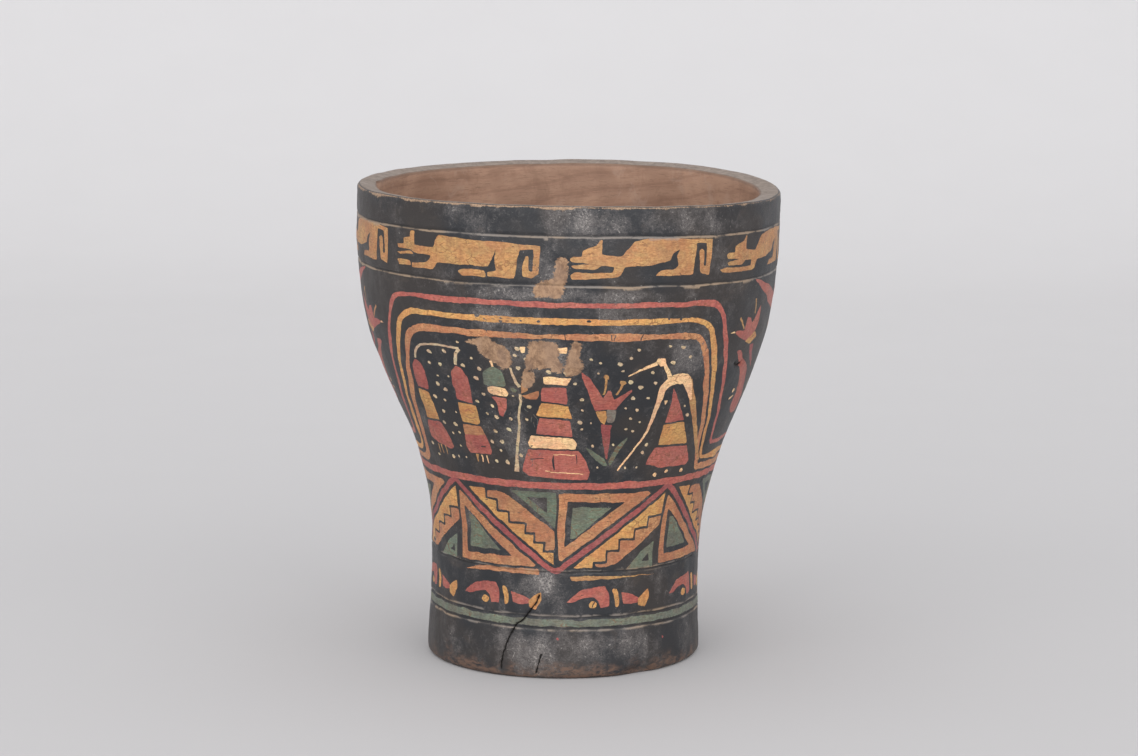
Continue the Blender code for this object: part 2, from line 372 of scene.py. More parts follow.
def lean_puma(left, length, reach=0.0):
    """A puma facing left, stretched out low, with a pointed ear and a paw that reaches forward."""
    pen = Pen(left, FRIEZE, length / 43.7)
    pen.fill(
        "ochre", (-0.3, 10.2), (0.9, 10.9), (3.2, 10.7), (3.3, 13.3), (7.4, 14.7), (8.6, 17.0),
        (9.1, 16.6), (8.9, 11.5), (14.3, 10.8), (18.3, 16.4), (22.3, 17.3), (32.3, 17.5), (43.4, 16.6),
        (42.9, 2.9), (39.2, 4.1), (38.2, 12.5), (39.3, 13.4), (40.2, 12.6), (40.4, 6.7), (41.4, 6.6),
        (41.1, 15.3), (37.4, 15.5), (36.7, 3.6), (24.7, 3.5), (26.4, 5.5), (30.8, 6.0), (31.8, 7.1),
        (31.0, 10.5), (32.1, 13.5), (29.7, 11.7), (28.8, 8.9), (22.6, 7.4), (15.6, 7.0), (14.5, 3.9),
        (13.0, 3.1), (0.2 - reach * 0.8, 2.1 + reach * 0.5), (-0.3 - reach, 3.8 + reach * 0.3),
        (0.9 - reach * 0.5, 4.8 + reach * 0.2), (12.1, 4.9), (12.6, 7.3), (8.5, 7.5), (6.8, 6.0),
        (0.6, 6.1), (-0.1, 7.3), (5.6, 8.0), (0.2, 8.6),
    )


def arch_line(paint, width, top, shoulder, foot, foot_height, centre, corner):
    """A stripe that runs over both arches and along between their feet."""
    corners = []
    for turn in range(-3, 4):
        middle = centre + turn * HALF_TURN
        half = [(-foot, foot_height), (-shoulder, top), (shoulder, top), (foot, foot_height)]
        corners += [(middle + u, h) for u, h in half]
    path = past_both_ends(corners, np.tile([5.5, corner, corner, 2.6], 7))
    uneven = 1.0 + 0.15 * field(path[:, 0], path[:, 1], 14 + int(top), 22.0)
    add_shape(paint, ribbon(path, width * uneven))


# Corners of the stepped lines: where each riser stands and the height of the tread after it
STEPS_DOWN = ((18.2, 68.7), (23.5, 64.3), (29.2, 60.1), (37.4, 56.3), (41.6, 53.0), (46.2, 49.7))
STEPS_UP = ((18.0, 70.5), (24.1, 66.2), (30.0, 61.9), (37.3, 58.0), (44.0, 53.6))


def cell(left, wide, up):
    """Half a turn of the zigzag: two triangles, a stepped line between two strips."""
    pen = Pen(left, 0.0 if up > 0 else 115.8, wide / 51.84, up)
    pen.fill(
        "orange", (1.6, 69.8), (0.7, 60.0), (0.8, 42.9), (41.5, 43.2), (43.0, 44.2), (22.6, 57.0),
        (4.0, 70.0),
    )
    pen.fill(
        "black", (3.9, 64.4), (4.2, 54.5), (4.6, 46.1), (30.4, 46.7), (20.6, 53.4), (13.2, 58.4),
        (5.2, 63.6),
    )
    pen.fill(
        "green", (6.1, 61.1), (6.7, 54.5), (6.7, 48.4), (24.6, 48.6), (17.6, 54.0), (13.0, 57.8),
        (8.4, 60.8),
    )
    steps = []
    height = 73.0
    for x, tread in STEPS_DOWN if up > 0 else STEPS_UP:
        steps += [(x + 0.1, height), (x - 0.1, tread)]
        height = tread
    steps.append((51.2, height))
    over = [(x + 0.5, h + 0.45) for x, h in steps[1:-1]]
    pen.fill("orange", *over, (51.2, height + 0.45), (51.1, 57.6), (28.5, 71.6), (24.0, 72.2), (19.0, 71.9))
    under = [(x - 0.5, h - 0.45) for x, h in steps[:-1]]
    pen.fill("yellow", (8.4, 72.6), *under, (51.1, height - 0.5), (51.2, 44.0), (44.0, 46.0))
    if up > 0:
        pen.fill("green", (30.6, 73.5), (51.5, 74.0), (51.5, 58.6))
        pen.fill("black", (38.3, 70.6), (47.6, 71.2), (47.4, 64.5))
    else:
        pen.fill("green", (34.1, 73.8), (41.7, 67.2), (48.8, 63.8), (48.6, 74.0))
        pen.fill("black", (42.5, 71.0), (46.6, 71.3), (46.3, 68.0))


def zigzag():
    """The red zigzag and what fills it, four times round."""
    places = all_round(CORNERS) + [TURN + CORNERS[0]]
    for turn in range(8):
        cell(places[turn], places[turn + 1] - places[turn], 1 if turn % 2 == 0 else -1)
    band("black", 73.2, 74.8)
    band("black", 41.0, 42.1)
    pen = Pen()
    pen.fill(
        "orange", (-53.4, 39.3), (-45.0, 41.2), (-39.0, 41.9), (-32.0, 42.0), (-12.9, 42.5),
        (-12.4, 40.2), (-32.7, 40.4), (-45.0, 39.7),
    )
    pen.fill(
        "ochre", (2.3, 39.9), (11.2, 40.3), (20.4, 39.9), (32.1, 39.4), (47.2, 39.1), (28.1, 38.9),
        (13.1, 38.6), (3.0, 38.4),
    )
    corners = []
    for turn in (-TURN, 0.0, TURN):
        for top, foot in zip(places[0:8:2], places[1:8:2]):
            middle = top + 0.47 * (foot - top)
            corners += [(top + turn, 74.6), (middle + turn, 57.8), (foot + turn, 41.2)]
    path = past_both_ends(corners, np.tile([0.4, 9.0, 3.6], 12))
    add_shape("black", ribbon(path, 4.8))
    add_shape("crimson", ribbon(path, 2.3))


def fish(left):
    """A fish facing left, with a bar behind its head and a split tail."""
    pen = Pen(left)
    pen.fill(
        "red", (0.0, 29.9), (3.0, 32.2), (6.6, 34.4), (12.6, 35.6), (18.8, 36.0), (20.6, 33.2),
        (20.6, 27.9), (16.6, 27.6), (15.4, 30.4), (13.0, 31.9), (8.0, 31.4), (3.2, 29.8),
    )
    pen.bend("yellow", (10.6, 28.5), (12.2, 30.2), (14.6, 29.6), (14.2, 28.0), (12.0, 27.6))
    pen.bend("yellow", (22.6, 34.6), (24.9, 34.5), (25.9, 31.0), (25.6, 28.0), (23.9, 27.9), (23.2, 31.5))
    pen.fill("red", (27.2, 33.3), (33.0, 32.0), (37.0, 30.4), (36.8, 29.0), (32.6, 28.4), (28.4, 28.7))
    pen.fill("yellow", (36.2, 30.0), (39.4, 32.2), (42.1, 33.5), (42.8, 30.4), (40.2, 26.5), (36.6, 27.6))


def tassels(u):
    """Two hanging tassels on one bent stem."""
    pen = Pen(u)
    pen.line(
        "pale", (0.8, 1.1, 1.0, 0.8, 0.7, 1.0), (-10.2, 122.8), (-8.4, 126.4), (-5.5, 128.8),
        (-0.9, 129.8), (5.2, 129.7), (10.0, 129.2),
    )
    pen.line("pale", (0.9, 1.3, 1.4, 1.2), (10.3, 129.0), (8.6, 127.4), (7.8, 125.0), (7.5, 122.6))
    pen.fill(
        "red", (-10.7, 122.4), (-12.6, 119.9), (-13.9, 113.0), (-13.6, 111.0), (-8.0, 110.6),
        (-7.5, 114.8), (-7.3, 118.1), (-8.3, 121.2),
    )
    pen.fill(
        "yellow", (-14.2, 110.2), (-8.6, 109.7), (-8.0, 104.8), (-8.3, 98.3), (-16.4, 98.2),
        (-15.4, 102.6),
    )
    pen.fill(
        "red", (-16.8, 97.2), (-8.3, 97.4), (-6.9, 93.6), (-5.7, 87.8), (-7.8, 86.7), (-15.3, 88.2),
        (-19.1, 90.2),
    )
    for x in (-15.9, -13.6, -10.8):
        pen.line("ochre", (0.8, 0.35), (x, 87.6), (x - 0.2, 86.0), (x - 0.2, 83.9))
    pen.fill(
        "red", (7.4, 122.3), (4.8, 119.2), (4.1, 114.4), (4.8, 111.9), (4.2, 108.3), (11.0, 107.5),
        (11.3, 112.6), (11.2, 117.8), (9.6, 121.3),
    )
    pen.fill("yellow", (4.2, 107.3), (11.9, 106.8), (12.0, 99.6), (10.5, 98.8), (4.1, 99.3))
    pen.line("orange", 0.5, (6.2, 103.9), (8.0, 104.6), (10.2, 103.6))
    pen.line("orange", 0.5, (6.0, 101.9), (8.6, 101.4), (10.4, 102.0))
    pen.fill("orange", (3.8, 98.3), (11.7, 98.1), (12.6, 94.0), (3.0, 93.8))
    pen.fill("red", (2.9, 94.1), (12.5, 94.6), (14.0, 88.7), (13.1, 87.1), (2.8, 86.5), (1.8, 89.1))
    pen.line("black", 0.5, (9.1, 89.8), (11.3, 89.9))
    pen.line("ochre", (1.3, 0.5), (6.4, 86.4), (6.2, 85.0), (6.1, 83.4))
    pen.line("cream", (0.8, 0.35), (8.6, 86.4), (8.6, 85.0), (8.5, 83.5))
    pen.line("cream", (0.7, 0.35), (10.8, 86.4), (11.0, 84.8), (11.3, 83.1))


def bud(u):
    """A hanging green bud with a pale band and a red tip."""
    pen = Pen(u)
    pen.line("cream", (0.9, 0.7), (-1.5, 125.6), (-0.8, 123.2))
    pen.bend(
        "green", (-1.4, 123.1), (-3.9, 121.1), (-4.7, 118.0), (-4.2, 115.7), (2.3, 115.8), (3.0, 117.9),
        (2.4, 121.2), (0.2, 123.0),
    )
    pen.fill(
        "cream", (-3.8, 115.0), (-2.4, 115.3), (2.5, 115.1), (3.5, 112.7), (2.5, 111.3), (-2.2, 111.8),
        (-3.5, 112.9),
    )
    pen.fill("red", (-2.8, 110.9), (2.2, 110.7), (2.1, 106.9), (0.5, 103.3), (-0.9, 104.0), (-1.2, 108.4))


def staff(u):
    """A thin staff with a leaf near its top."""
    pen = Pen(u)
    pen.line("pale", (0.7, 1.0, 1.3), (1.3, 123.2), (2.7, 117.9), (3.9, 115.6))
    pen.line(
        "pale", (1.0, 0.8, 0.9, 1.1, 1.2, 2.0), (3.6, 113.0), (3.2, 108.2), (2.0, 101.5), (0.6, 94.7),
        (-1.2, 85.8), (-2.0, 80.9),
    )
    pen.dot("green", 1.6, 114.3, 1.0)
    pen.fill("orange", (3.8, 112.3), (6.4, 113.2), (10.2, 114.9), (10.2, 113.0), (9.2, 111.2), (6.9, 111.3))
    pen.fill("orange", (4.0, 113.0), (4.6, 117.5), (6.4, 117.0), (6.6, 114.6))


def pyramid(u):
    """A stepped cone of bands, wider downward."""
    pen = Pen(u)
    pen.fill("cream", (-2.2, 120.0), (-1.2, 120.4), (3.0, 119.9), (7.2, 120.3), (5.6, 117.1), (-2.0, 117.6))
    pen.fill("red", (-2.8, 116.3), (5.3, 116.3), (5.6, 109.6), (-3.5, 110.4))
    pen.fill("yellow", (-3.5, 109.7), (6.0, 108.9), (7.4, 103.8), (-5.5, 104.5))
    pen.fill("red", (-4.3, 103.8), (6.5, 102.9), (7.7, 96.3), (-6.2, 97.0))
    pen.fill("cream", (-8.2, 96.3), (7.7, 95.6), (9.3, 93.6), (9.0, 91.2), (-9.1, 91.2), (-9.7, 93.2))
    pen.fill(
        "red", (-10.0, 90.5), (10.2, 90.6), (12.7, 86.8), (14.7, 81.9), (14.0, 78.5), (2.5, 78.8),
        (-10.4, 79.6), (-13.6, 81.3), (-12.8, 84.1),
    )
    pen.line("black", (0.3, 0.9, 0.5), (0.1, 88.3), (0.0, 85.4), (0.1, 82.4))
    pen.line("black", 0.35, (-9.8, 86.7), (-6.0, 86.9), (-3.9, 86.9))
    pen.line("cream", 0.3, (0.2, 88.6), (4.0, 88.8), (8.6, 88.9))
    pen.line("black", 0.35, (9.4, 89.0), (9.5, 87.0), (9.4, 85.4))
    pen.line("cream", 0.3, (-3.8, 81.9), (4.0, 81.3), (12.4, 81.0))


def bell_flower(u):
    """A red flower with three petals over a pointed cup, and two leaves at its foot."""
    pen = Pen(u)
    pen.fill(
        "red", (-9.8, 122.6), (-6.9, 120.5), (-4.6, 116.2), (-2.0, 112.0), (-0.8, 115.4), (0.3, 114.9),
        (1.8, 111.5), (7.1, 115.5), (7.4, 114.6), (4.7, 110.8), (3.1, 107.6), (-4.3, 107.2),
        (-6.1, 111.3), (-8.2, 117.0),
    )
    pen.fill("yellow", (-4.2, 107.0), (-0.5, 107.0), (-0.4, 103.8), (-1.0, 101.3), (-2.5, 102.5))
    pen.fill("grey", (-0.4, 107.5), (3.1, 107.4), (2.6, 103.3), (1.7, 102.3), (-0.3, 102.5))
    pen.fill(
        "crimson", (-2.3, 101.5), (1.8, 101.5), (1.7, 98.8), (1.8, 93.4), (1.7, 86.7), (1.0, 87.1),
        (-0.6, 93.5),
    )
    for foot, head in (((-2.1, 113.5), (-1.7, 119.9)), ((2.0, 113.5), (3.9, 117.6))):
        middle = ((foot[0] + head[0]) / 2.0 + 0.2, (foot[1] + head[1]) / 2.0)
        pen.line("ochre", (0.6, 0.8), foot, middle, head)
        pen.dot("ochre", head[0] + 0.1, head[1] + 0.7, 0.95)
    pen.fill(
        "green", (-7.4, 91.9), (-5.4, 91.4), (-2.6, 89.4), (0.6, 86.8), (2.3, 84.5), (0.5, 84.1),
        (-2.6, 86.6), (-5.3, 89.2),
    )
    pen.fill("green", (8.9, 95.9), (8.7, 94.5), (5.6, 88.8), (3.1, 84.0), (2.2, 86.2), (4.7, 92.0))


def heron(u):
    """A wading bird drawn in one bent line, its beak to the left."""
    pen = Pen(u)
    pen.line("cream", (0.4, 0.7, 1.0, 1.5), (-17.9, 120.8), (-13.7, 123.3), (-9.2, 125.4))
    pen.dot("cream", -7.7, 126.0, 1.75)
    pen.line("cream", (1.3, 1.3, 1.6), (-6.4, 125.2), (-4.8, 122.8), (-3.2, 119.4))
    pen.line(
        "ochre", (3.0, 2.6, 2.2, 2.0, 1.7, 1.3), (4.7, 117.6), (6.9, 113.4), (9.9, 107.8),
        (12.9, 102.1), (17.7, 94.8), (23.5, 87.3), (27.2, 82.6),
    )
    pen.line(
        "cream", (0.6, 0.8, 1.1, 1.5, 2.1, 2.9, 4.0, 4.0, 2.8, 0.9), (-16.7, 82.1), (-11.2, 90.3),
        (-8.0, 96.4), (-6.6, 101.3), (-6.0, 106.6), (-5.3, 111.0), (-4.6, 115.3), (-2.2, 118.2),
        (0.8, 118.9), (3.8, 117.9), (6.2, 114.0), (8.2, 109.6),
    )


def tent(u):
    """A small stepped cone, upright on its left side."""
    pen = Pen(u)
    pen.fill("red", (-8.7, 115.4), (-8.2, 110.6), (-8.1, 101.2), (0.3, 100.9), (-4.0, 107.5), (-7.1, 113.5))
    pen.fill("yellow", (-8.6, 100.3), (0.7, 100.3), (6.3, 91.2), (-8.5, 91.8))
    pen.fill(
        "red", (-9.6, 90.7), (6.8, 90.3), (11.6, 83.4), (10.3, 81.8), (-5.0, 82.3), (-12.4, 84.0),
        (-11.6, 86.7),
    )
    pen.fill("cream", (-11.5, 110.4), (-9.8, 110.2), (-10.6, 108.1))
    for x, h in ((-6.7, 79.6), (-1.0, 80.2), (8.1, 79.9)):
        pen.dot("cream", x, h, 0.85)


def side_plant(u, mirror):
    """The plant between two arches: leaf, flower and hanging stalk, on one side of its middle."""
    pen = Pen(u, 0.0, mirror)
    pen.bend(
        "red", (29.9, 154.3), (24.7, 153.4), (10.1, 148.6), (1.6, 144.0), (1.4, 139.0), (11.3, 142.0),
        (20.7, 148.2),
    )
    pen.fill(
        "red", (39.0, 134.9), (37.8, 135.5), (32.8, 135.0), (32.4, 140.4), (29.7, 139.5), (28.4, 137.2),
        (22.7, 143.8), (22.3, 138.1), (24.0, 133.8), (29.2, 130.2), (37.3, 133.4),
    )
    pen.fill("cream", (41.3, 134.9), (39.2, 135.5), (38.8, 134.5))
    pen.line("ochre", (0.8, 0.6), (27.8, 146.8), (27.4, 144.0), (27.3, 140.9))
    pen.line("ochre", (0.9, 0.7), (37.2, 140.6), (35.0, 138.0), (33.2, 135.7))
    pen.fill("yellow", (24.1, 133.5), (20.8, 131.1), (26.2, 128.2), (30.1, 130.2))
    pen.line("crimson", 0.5, (27.4, 130.9), (25.0, 131.4), (22.8, 132.4))
    pen.fill(
        "crimson", (25.6, 127.9), (21.8, 128.3), (20.8, 124.8), (14.8, 118.1), (15.4, 117.7),
        (24.0, 124.8),
    )
    pen.bend(
        "red", (34.2, 126.6), (30.6, 126.4), (27.2, 122.9), (20.0, 118.3), (15.0, 111.6), (10.8, 105.0),
        (10.4, 99.8), (16.8, 99.2), (21.9, 103.4), (21.0, 108.7), (25.4, 116.7), (31.4, 123.4),
    )
    pen.dot("cream", 25.3, 109.6, 0.8)
    pen.line("cream", (0.9, 0.6), (26.9, 106.6), (25.2, 106.8), (23.6, 107.3))


def middle_plant(u):
    """The stem of the plant between two arches, with a bell flower at its top."""
    pen = Pen(u)
    pen.line("green", (1.0, 1.6, 1.4), (0.0, 92.0), (0.6, 108.0), (-0.4, 124.0), (0.0, 133.0))
    pen.bend("green", (0.3, 99.0), (5.0, 105.2), (8.6, 107.6), (6.4, 101.4), (2.0, 97.2))
    pen.bend("green", (-0.3, 103.0), (-5.0, 109.2), (-8.6, 111.6), (-6.4, 105.4), (-2.0, 101.2))
    pen.fill(
        "red", (-6.4, 146.0), (-3.4, 144.6), (0.0, 149.8), (3.4, 144.6), (6.4, 146.0), (3.8, 138.4),
        (0.0, 134.0), (-3.8, 138.4),
    )
    pen.fill("yellow", (-2.4, 134.4), (2.4, 134.4), (1.6, 130.4), (-1.6, 130.4))


def distance_in(points, outline):
    """Distance from each point to an outline, positive inside it."""
    ends = np.roll(outline, -1, axis=0)
    best = np.full(len(points), FAR**2)
    odd = np.zeros(len(points), bool)
    for a, b in zip(outline, ends):
        run = b - a
        share = np.clip(((points - a) @ run) / max(run @ run, 1e-12), 0.0, 1.0)
        gap = points - a - share[:, None] * run
        best = np.minimum(best, gap[:, 0] ** 2 + gap[:, 1] ** 2)
        cross = (a[1] <= points[:, 1]) != (b[1] <= points[:, 1])
        if b[1] != a[1]:
            at = a[0] + (points[:, 1] - a[1]) * run[0] / run[1]
            odd ^= cross & (points[:, 0] < at)
    return np.sqrt(best) * np.where(odd, 1.0, -1.0)


def scatter(inner, seed):
    """Cream dots over the ground inside an outline, clear of every figure."""
    rng = np.random.default_rng(seed)
    low, high = inner.min(axis=0), inner.max(axis=0)
    us, hs = np.meshgrid(np.arange(low[0], high[0], DOTS_APART), np.arange(low[1], high[1], DOTS_APART))
    us = us + (np.arange(len(us)) % 2)[:, None] * DOTS_APART / 2.0
    spots = np.stack([us.ravel(), hs.ravel()], axis=1)
    spots = spots + rng.uniform(-DOTS_ASTRAY, DOTS_ASTRAY, spots.shape)
    sizes = rng.uniform(*DOT_RADII, len(spots))
    clear = distance_in(spots, inner) > DOTS_INSIDE
    middle = inner.mean(axis=0)
    for paint, outline, _ in list(shapes):
        if paint == "black" or np.ptp(outline[:, 0]) > 60.0:
            continue
        turns = round((middle[0] - outline[:, 0].mean()) / TURN)
        near = outline + np.array([turns * TURN, 0.0])
        if abs(near[:, 0].mean() - middle[0]) < 75.0:
            clear &= distance_in(spots, near) < -DOTS_CLEAR
    pen = Pen()
    for (u, h), size in zip(spots[clear], sizes[clear]):
        pen.dot("pale", u, h, size)


def arch_inside(centre):
    """The ground that an arch frames."""
    corners = ((-64.0, 79.0), (-46.5, 133.5), (46.5, 133.5), (64.0, 79.0))
    return np.array([(centre + u, h) for u, h in corners])


def draw_bands():
    """The bands below the arches, and the arches' three stripes."""
    band("green", 20.4, 23.1)
    for left in all_round(FISH):
        fish(left)
    zigzag()
    band("red", 74.6, 77.3)
    arch_line("red", 1.75, 148.2, 54.9, 75.6, 88.8, ARCH + 0.6, 6.5)
    arch_line("yellow", 2.15, 142.0, 51.5, 71.8, 83.3, ARCH + 0.3, 8.0)
    arch_line("orange", 2.4, 136.1, 49.0, 69.6, 79.6, ARCH + 0.9, 7.0)
    for u, lean in ((-1.4, 0.2), (12.6, 0.1), (13.8, -0.2), (22.4, -0.5)):
        Pen().line("black", 0.3, (u, 137.2), (u + lean, 136.0), (u + 1.5 * lean, 134.9))


def draw_frieze():
    """The pumas above the arches."""
    for left, length in ((-57.7, 49.2), (98.3, 48.0), (200.4, 46.0)):
        puma(left, length)
    for left, length in ((-162.0, 47.5), (-105.9, 43.7), (0.0, 43.7)):
        lean_puma(left, length)
    lean_puma(49.8, 44.5, 3.0)
    lean_puma(151.3, 44.0)


def draw_scenes(back):
    """What the arches frame, and the plants between them."""
    tassels(-46.0)
    bud(-24.3)
    staff(-20.3)
    pyramid(-6.2)
    bell_flower(13.6)
    heron(37.0)
    tent(45.0)
    for middle in (ARCH + HALF_TURN / 2.0, ARCH - HALF_TURN / 2.0):
        side_plant(middle, -1.0)
        side_plant(middle, 1.0)
        middle_plant(middle)
    tassels(back - 39.0)
    bud(back - 18.0)
    pyramid(back)
    bell_flower(back + 21.5)
    tent(back + 45.0)
    scatter(arch_inside(ARCH), 5)
    scatter(arch_inside(back), 6)


# Black chips out of the yellow stripe: place and radius
CHIPS = (
    (-28.7, 142.9, 0.8), (-9.4, 141.9, 0.5), (5.5, 142.4, 0.6), (-21.3, 141.2, 0.5),
    (-14.7, 141.9, 0.4), (-8.4, 145.6, 0.5), (30.2, 142.7, 0.4), (34.0, 142.5, 0.5),
)


def draw_marks():
    """Small patches, chips and scratches at the front."""
    pen = Pen()
    pen.dot("crimson", -2.9, 15.6, 0.65)
    pen.dot("crimson", 53.0, 13.5, 0.5)
    pen.line("black", 0.45, (13.0, 27.7), (13.8, 28.9), (14.7, 29.9))
    for u, h, size in CHIPS:
        pen.dot("black", u, h, size)
    pen.fill("cream", (-6.1, 131.9), (-0.6, 132.3), (-0.8, 129.8), (-4.1, 130.5), (-5.3, 131.3))
    pen.fill("cream", (-15.4, 132.0), (-13.6, 132.0), (-13.9, 129.6), (-15.1, 129.2))
    rng = np.random.default_rng(3)
    for _ in range(26):
        u, h = rng.uniform(-26.0, -11.0), rng.uniform(82.0, 112.0)
        du, dh = rng.uniform(-1.4, 1.4), rng.uniform(0.8, 2.4)
        pen.line("scratch", 0.22, (u, h), (u + du * 0.6, h + dh * 0.5), (u + du, h + dh))


# Everything inlaid in the outer side, in the order it is laid
draw_bands()
draw_frieze()
draw_scenes(ARCH + HALF_TURN)
draw_marks()


# Damage, as places on the sheet

HOLE = np.array([(63.8, 121.8), (66.4, 120.7), (69.2, 121.2)])
SHORT_CRACK = np.array([(-10.5, 9.3), (-11.6, 6.4), (-12.8, 2.2)])
RIM_CRACK = np.array([(99.4, 175.0), (99.1, 179.0), (99.3, 183.2)])
CRACK = np.array([
    (-12.3, 32.0), (-13.2, 30.1), (-16.0, 26.7), (-20.0, 22.4), (-23.6, 20.1), (-26.1, 16.5),
    (-28.2, 12.3), (-29.7, 8.3), (-30.7, 3.4),
])
# Each crack's path, half width as drawn, half width and depth as cut, and half width as darkened
CRACKS = (
    (CRACK, 0.24, 0.36, 1.4, 0.26),
    (SHORT_CRACK, 0.2, 0.3, 0.8, 0.2),
    (RIM_CRACK, 0.2, 0.3, 0.6, 0.2),
    (HOLE, 0.8, 1.0, 1.5, 0.8),
)

LOSS_DEPTH = 0.35
# Outlines of the places where a piece of the surface is lost
LOSSES = (
    (
        (-34.2, 131.9), (-31.0, 133.6), (-29.0, 134.3), (-25.6, 135.2), (-24.4, 133.4), (-21.0, 132.2),
        (-18.8, 129.7), (-18.1, 125.6), (-19.6, 122.6), (-22.6, 122.8), (-24.0, 124.6), (-27.0, 126.4),
        (-29.2, 128.6), (-29.8, 131.4),
    ),
    (
        (-12.8, 133.6), (-9.4, 134.6), (-3.5, 133.9), (-3.0, 129.3), (-4.1, 125.8), (-6.9, 123.4),
        (-13.9, 123.2), (-14.3, 126.6), (-12.9, 129.2),
    ),
    (
        (0.6, 134.0), (1.9, 135.0), (3.7, 133.6), (3.4, 128.2), (4.8, 124.4), (3.3, 121.5),
        (-1.4, 120.6), (-1.4, 125.1), (-0.9, 128.5), (0.2, 131.4),
    ),
    (
        (-14.3, 122.9), (-11.5, 121.6), (-10.7, 119.0), (-12.6, 115.8), (-15.3, 115.5), (-15.8, 119.2),
    ),
    (
        (-4.4, 165.4), (-3.0, 166.4), (-1.0, 165.6), (-0.6, 162.5), (-0.7, 158.5), (-1.6, 154.8),
        (-2.3, 151.2), (-3.0, 150.2), (-6.0, 150.9), (-10.2, 150.8), (-11.4, 152.6), (-10.8, 155.0),
        (-8.4, 157.2), (-5.2, 158.0), (-4.8, 161.0),
    ),
    (
        (-4.5, 128.2), (-2.0, 126.3), (-2.0, 122.0), (-5.6, 122.3), (-5.9, 124.5),
    ),
)

# Rubbed places: u, h, half width, half height, and how much; the wide row at the front of the foot also
# paints light onto the lower front
SCUFFS_AND_PAINTED_LIGHT = (
    (8.0, 179.5, 32.0, 5.0, 0.34),
    (52.0, 177.0, 16.0, 5.0, 0.22),
    (-6.0, 163.0, 6.0, 8.0, 0.40),
    (-16.0, 152.0, 16.0, 3.0, 0.46),
    (14.0, 151.5, 22.0, 2.5, 0.24),
    (-26.0, 143.0, 12.0, 5.0, 0.42),
    (16.0, 141.0, 30.0, 6.0, 0.28),
    (-9.0, 128.0, 12.0, 8.0, 0.35),
    (-20.0, 92.0, 5.0, 18.0, 0.25),
    (41.0, 127.0, 8.0, 8.0, 0.45),
    (-17.0, 98.0, 4.0, 16.0, 0.32),
    (-3.0, 75.0, 14.0, 3.0, 0.25),
    (0.0, 58.0, 70.0, 14.0, 0.12),
    (-10.0, 38.5, 8.0, 4.0, 0.75),
    (-16.0, 34.0, 16.0, 4.0, 0.30),
    (-14.0, 11.0, 9.0, 8.0, 0.50),
    (20.0, 13.0, 26.0, 5.0, 0.34),
    # Painted light: a wide, faint brightening across the front of the foot, besides the rubbing there
    (0.0, 11.0, 75.0, 8.0, 0.12),
    (-150.0, 100.0, 30.0, 20.0, 0.25),
    (140.0, 165.0, 30.0, 10.0, 0.30),
    (170.0, 30.0, 30.0, 12.0, 0.35),
)

# What kind of place a point of the surface is
SIDE = 0.0
HOLLOW = 1.0
UNDER = 2.0

# Chips out of the edges: angle, length, height and depth
CHIP = (math.radians(-57.0), 17.0, 3.6, 2.4)
NICK = (math.radians(177.5), 9.0, 2.5, 1.1)

# How far the sheet runs on from the lip to the floor, for the wood's shading
HOLLOW_RUN = 170.0

# The flat map: the side and hollow as one strip, with the hollow squeezed, and two discs above
STRIP_LIFT = 8.0
STRIP_BEND = HIGH + 12.0
HOLLOW_SQUEEZE = 0.6
DISC_ROW = 372.0
MAP_SIZE = 430.0


def line_distance(points, path):
    """Distance from each point to an open line."""
    best = np.full(len(points), FAR**2)
    for a, b in zip(path, path[1:]):
        run = b - a
        share = np.clip(((points - a) @ run) / (run @ run), 0.0, 1.0)
        gap = points - a - share[:, None] * run
        best = np.minimum(best, gap[:, 0] ** 2 + gap[:, 1] ** 2)
    return np.sqrt(best)


# The outer side as a net of triangles


def crack_outline(path, half):
    """A crack's ragged middle line and its outline, narrow at both ends."""
    path = resample(path, 0.8, False)
    path = path + 0.12 * shaken(path, (8, 9), 2.0)
    along = np.arange(len(path))
    taper = np.minimum(along + 0.6, len(path) - along - 0.4) / 4.0
    return path, ribbon(path, half * 2.0 * np.minimum(1.0, taper))


def sheet_lines():
    """Every line that the net is cut along, and whether it is closed."""
    rim = np.linspace(-HALF_TURN, HALF_TURN, SEGMENTS + 1)
    side = np.linspace(LOW, HIGH, 141)[1:-1]
    border = [(u, LOW) for u in rim] + [(HALF_TURN, h) for h in side]
    border += [(u, HIGH) for u in rim[::-1]] + [(-HALF_TURN, h) for h in side[::-1]]
    lines = [(border, True)]
    us = np.linspace(-HALF_TURN, HALF_TURN, 349)
    for line in LINES:
        for offset in (-LINE_HALF, 0.0, LINE_HALF):
            lines.append((np.stack([us, line + line_wave(us, line) + offset], axis=1), False))
    for crack, half, _, _, _ in CRACKS:
        path, outline = crack_outline(crack, half)
        for line, closed in ((outline, True), (path, False)):
            line[:, 1] = np.clip(line[:, 1], LOW + 0.15, HIGH - 0.15)
            lines.append((line, closed))
    return lines + [(outline, True) for _, outline, _ in shapes]


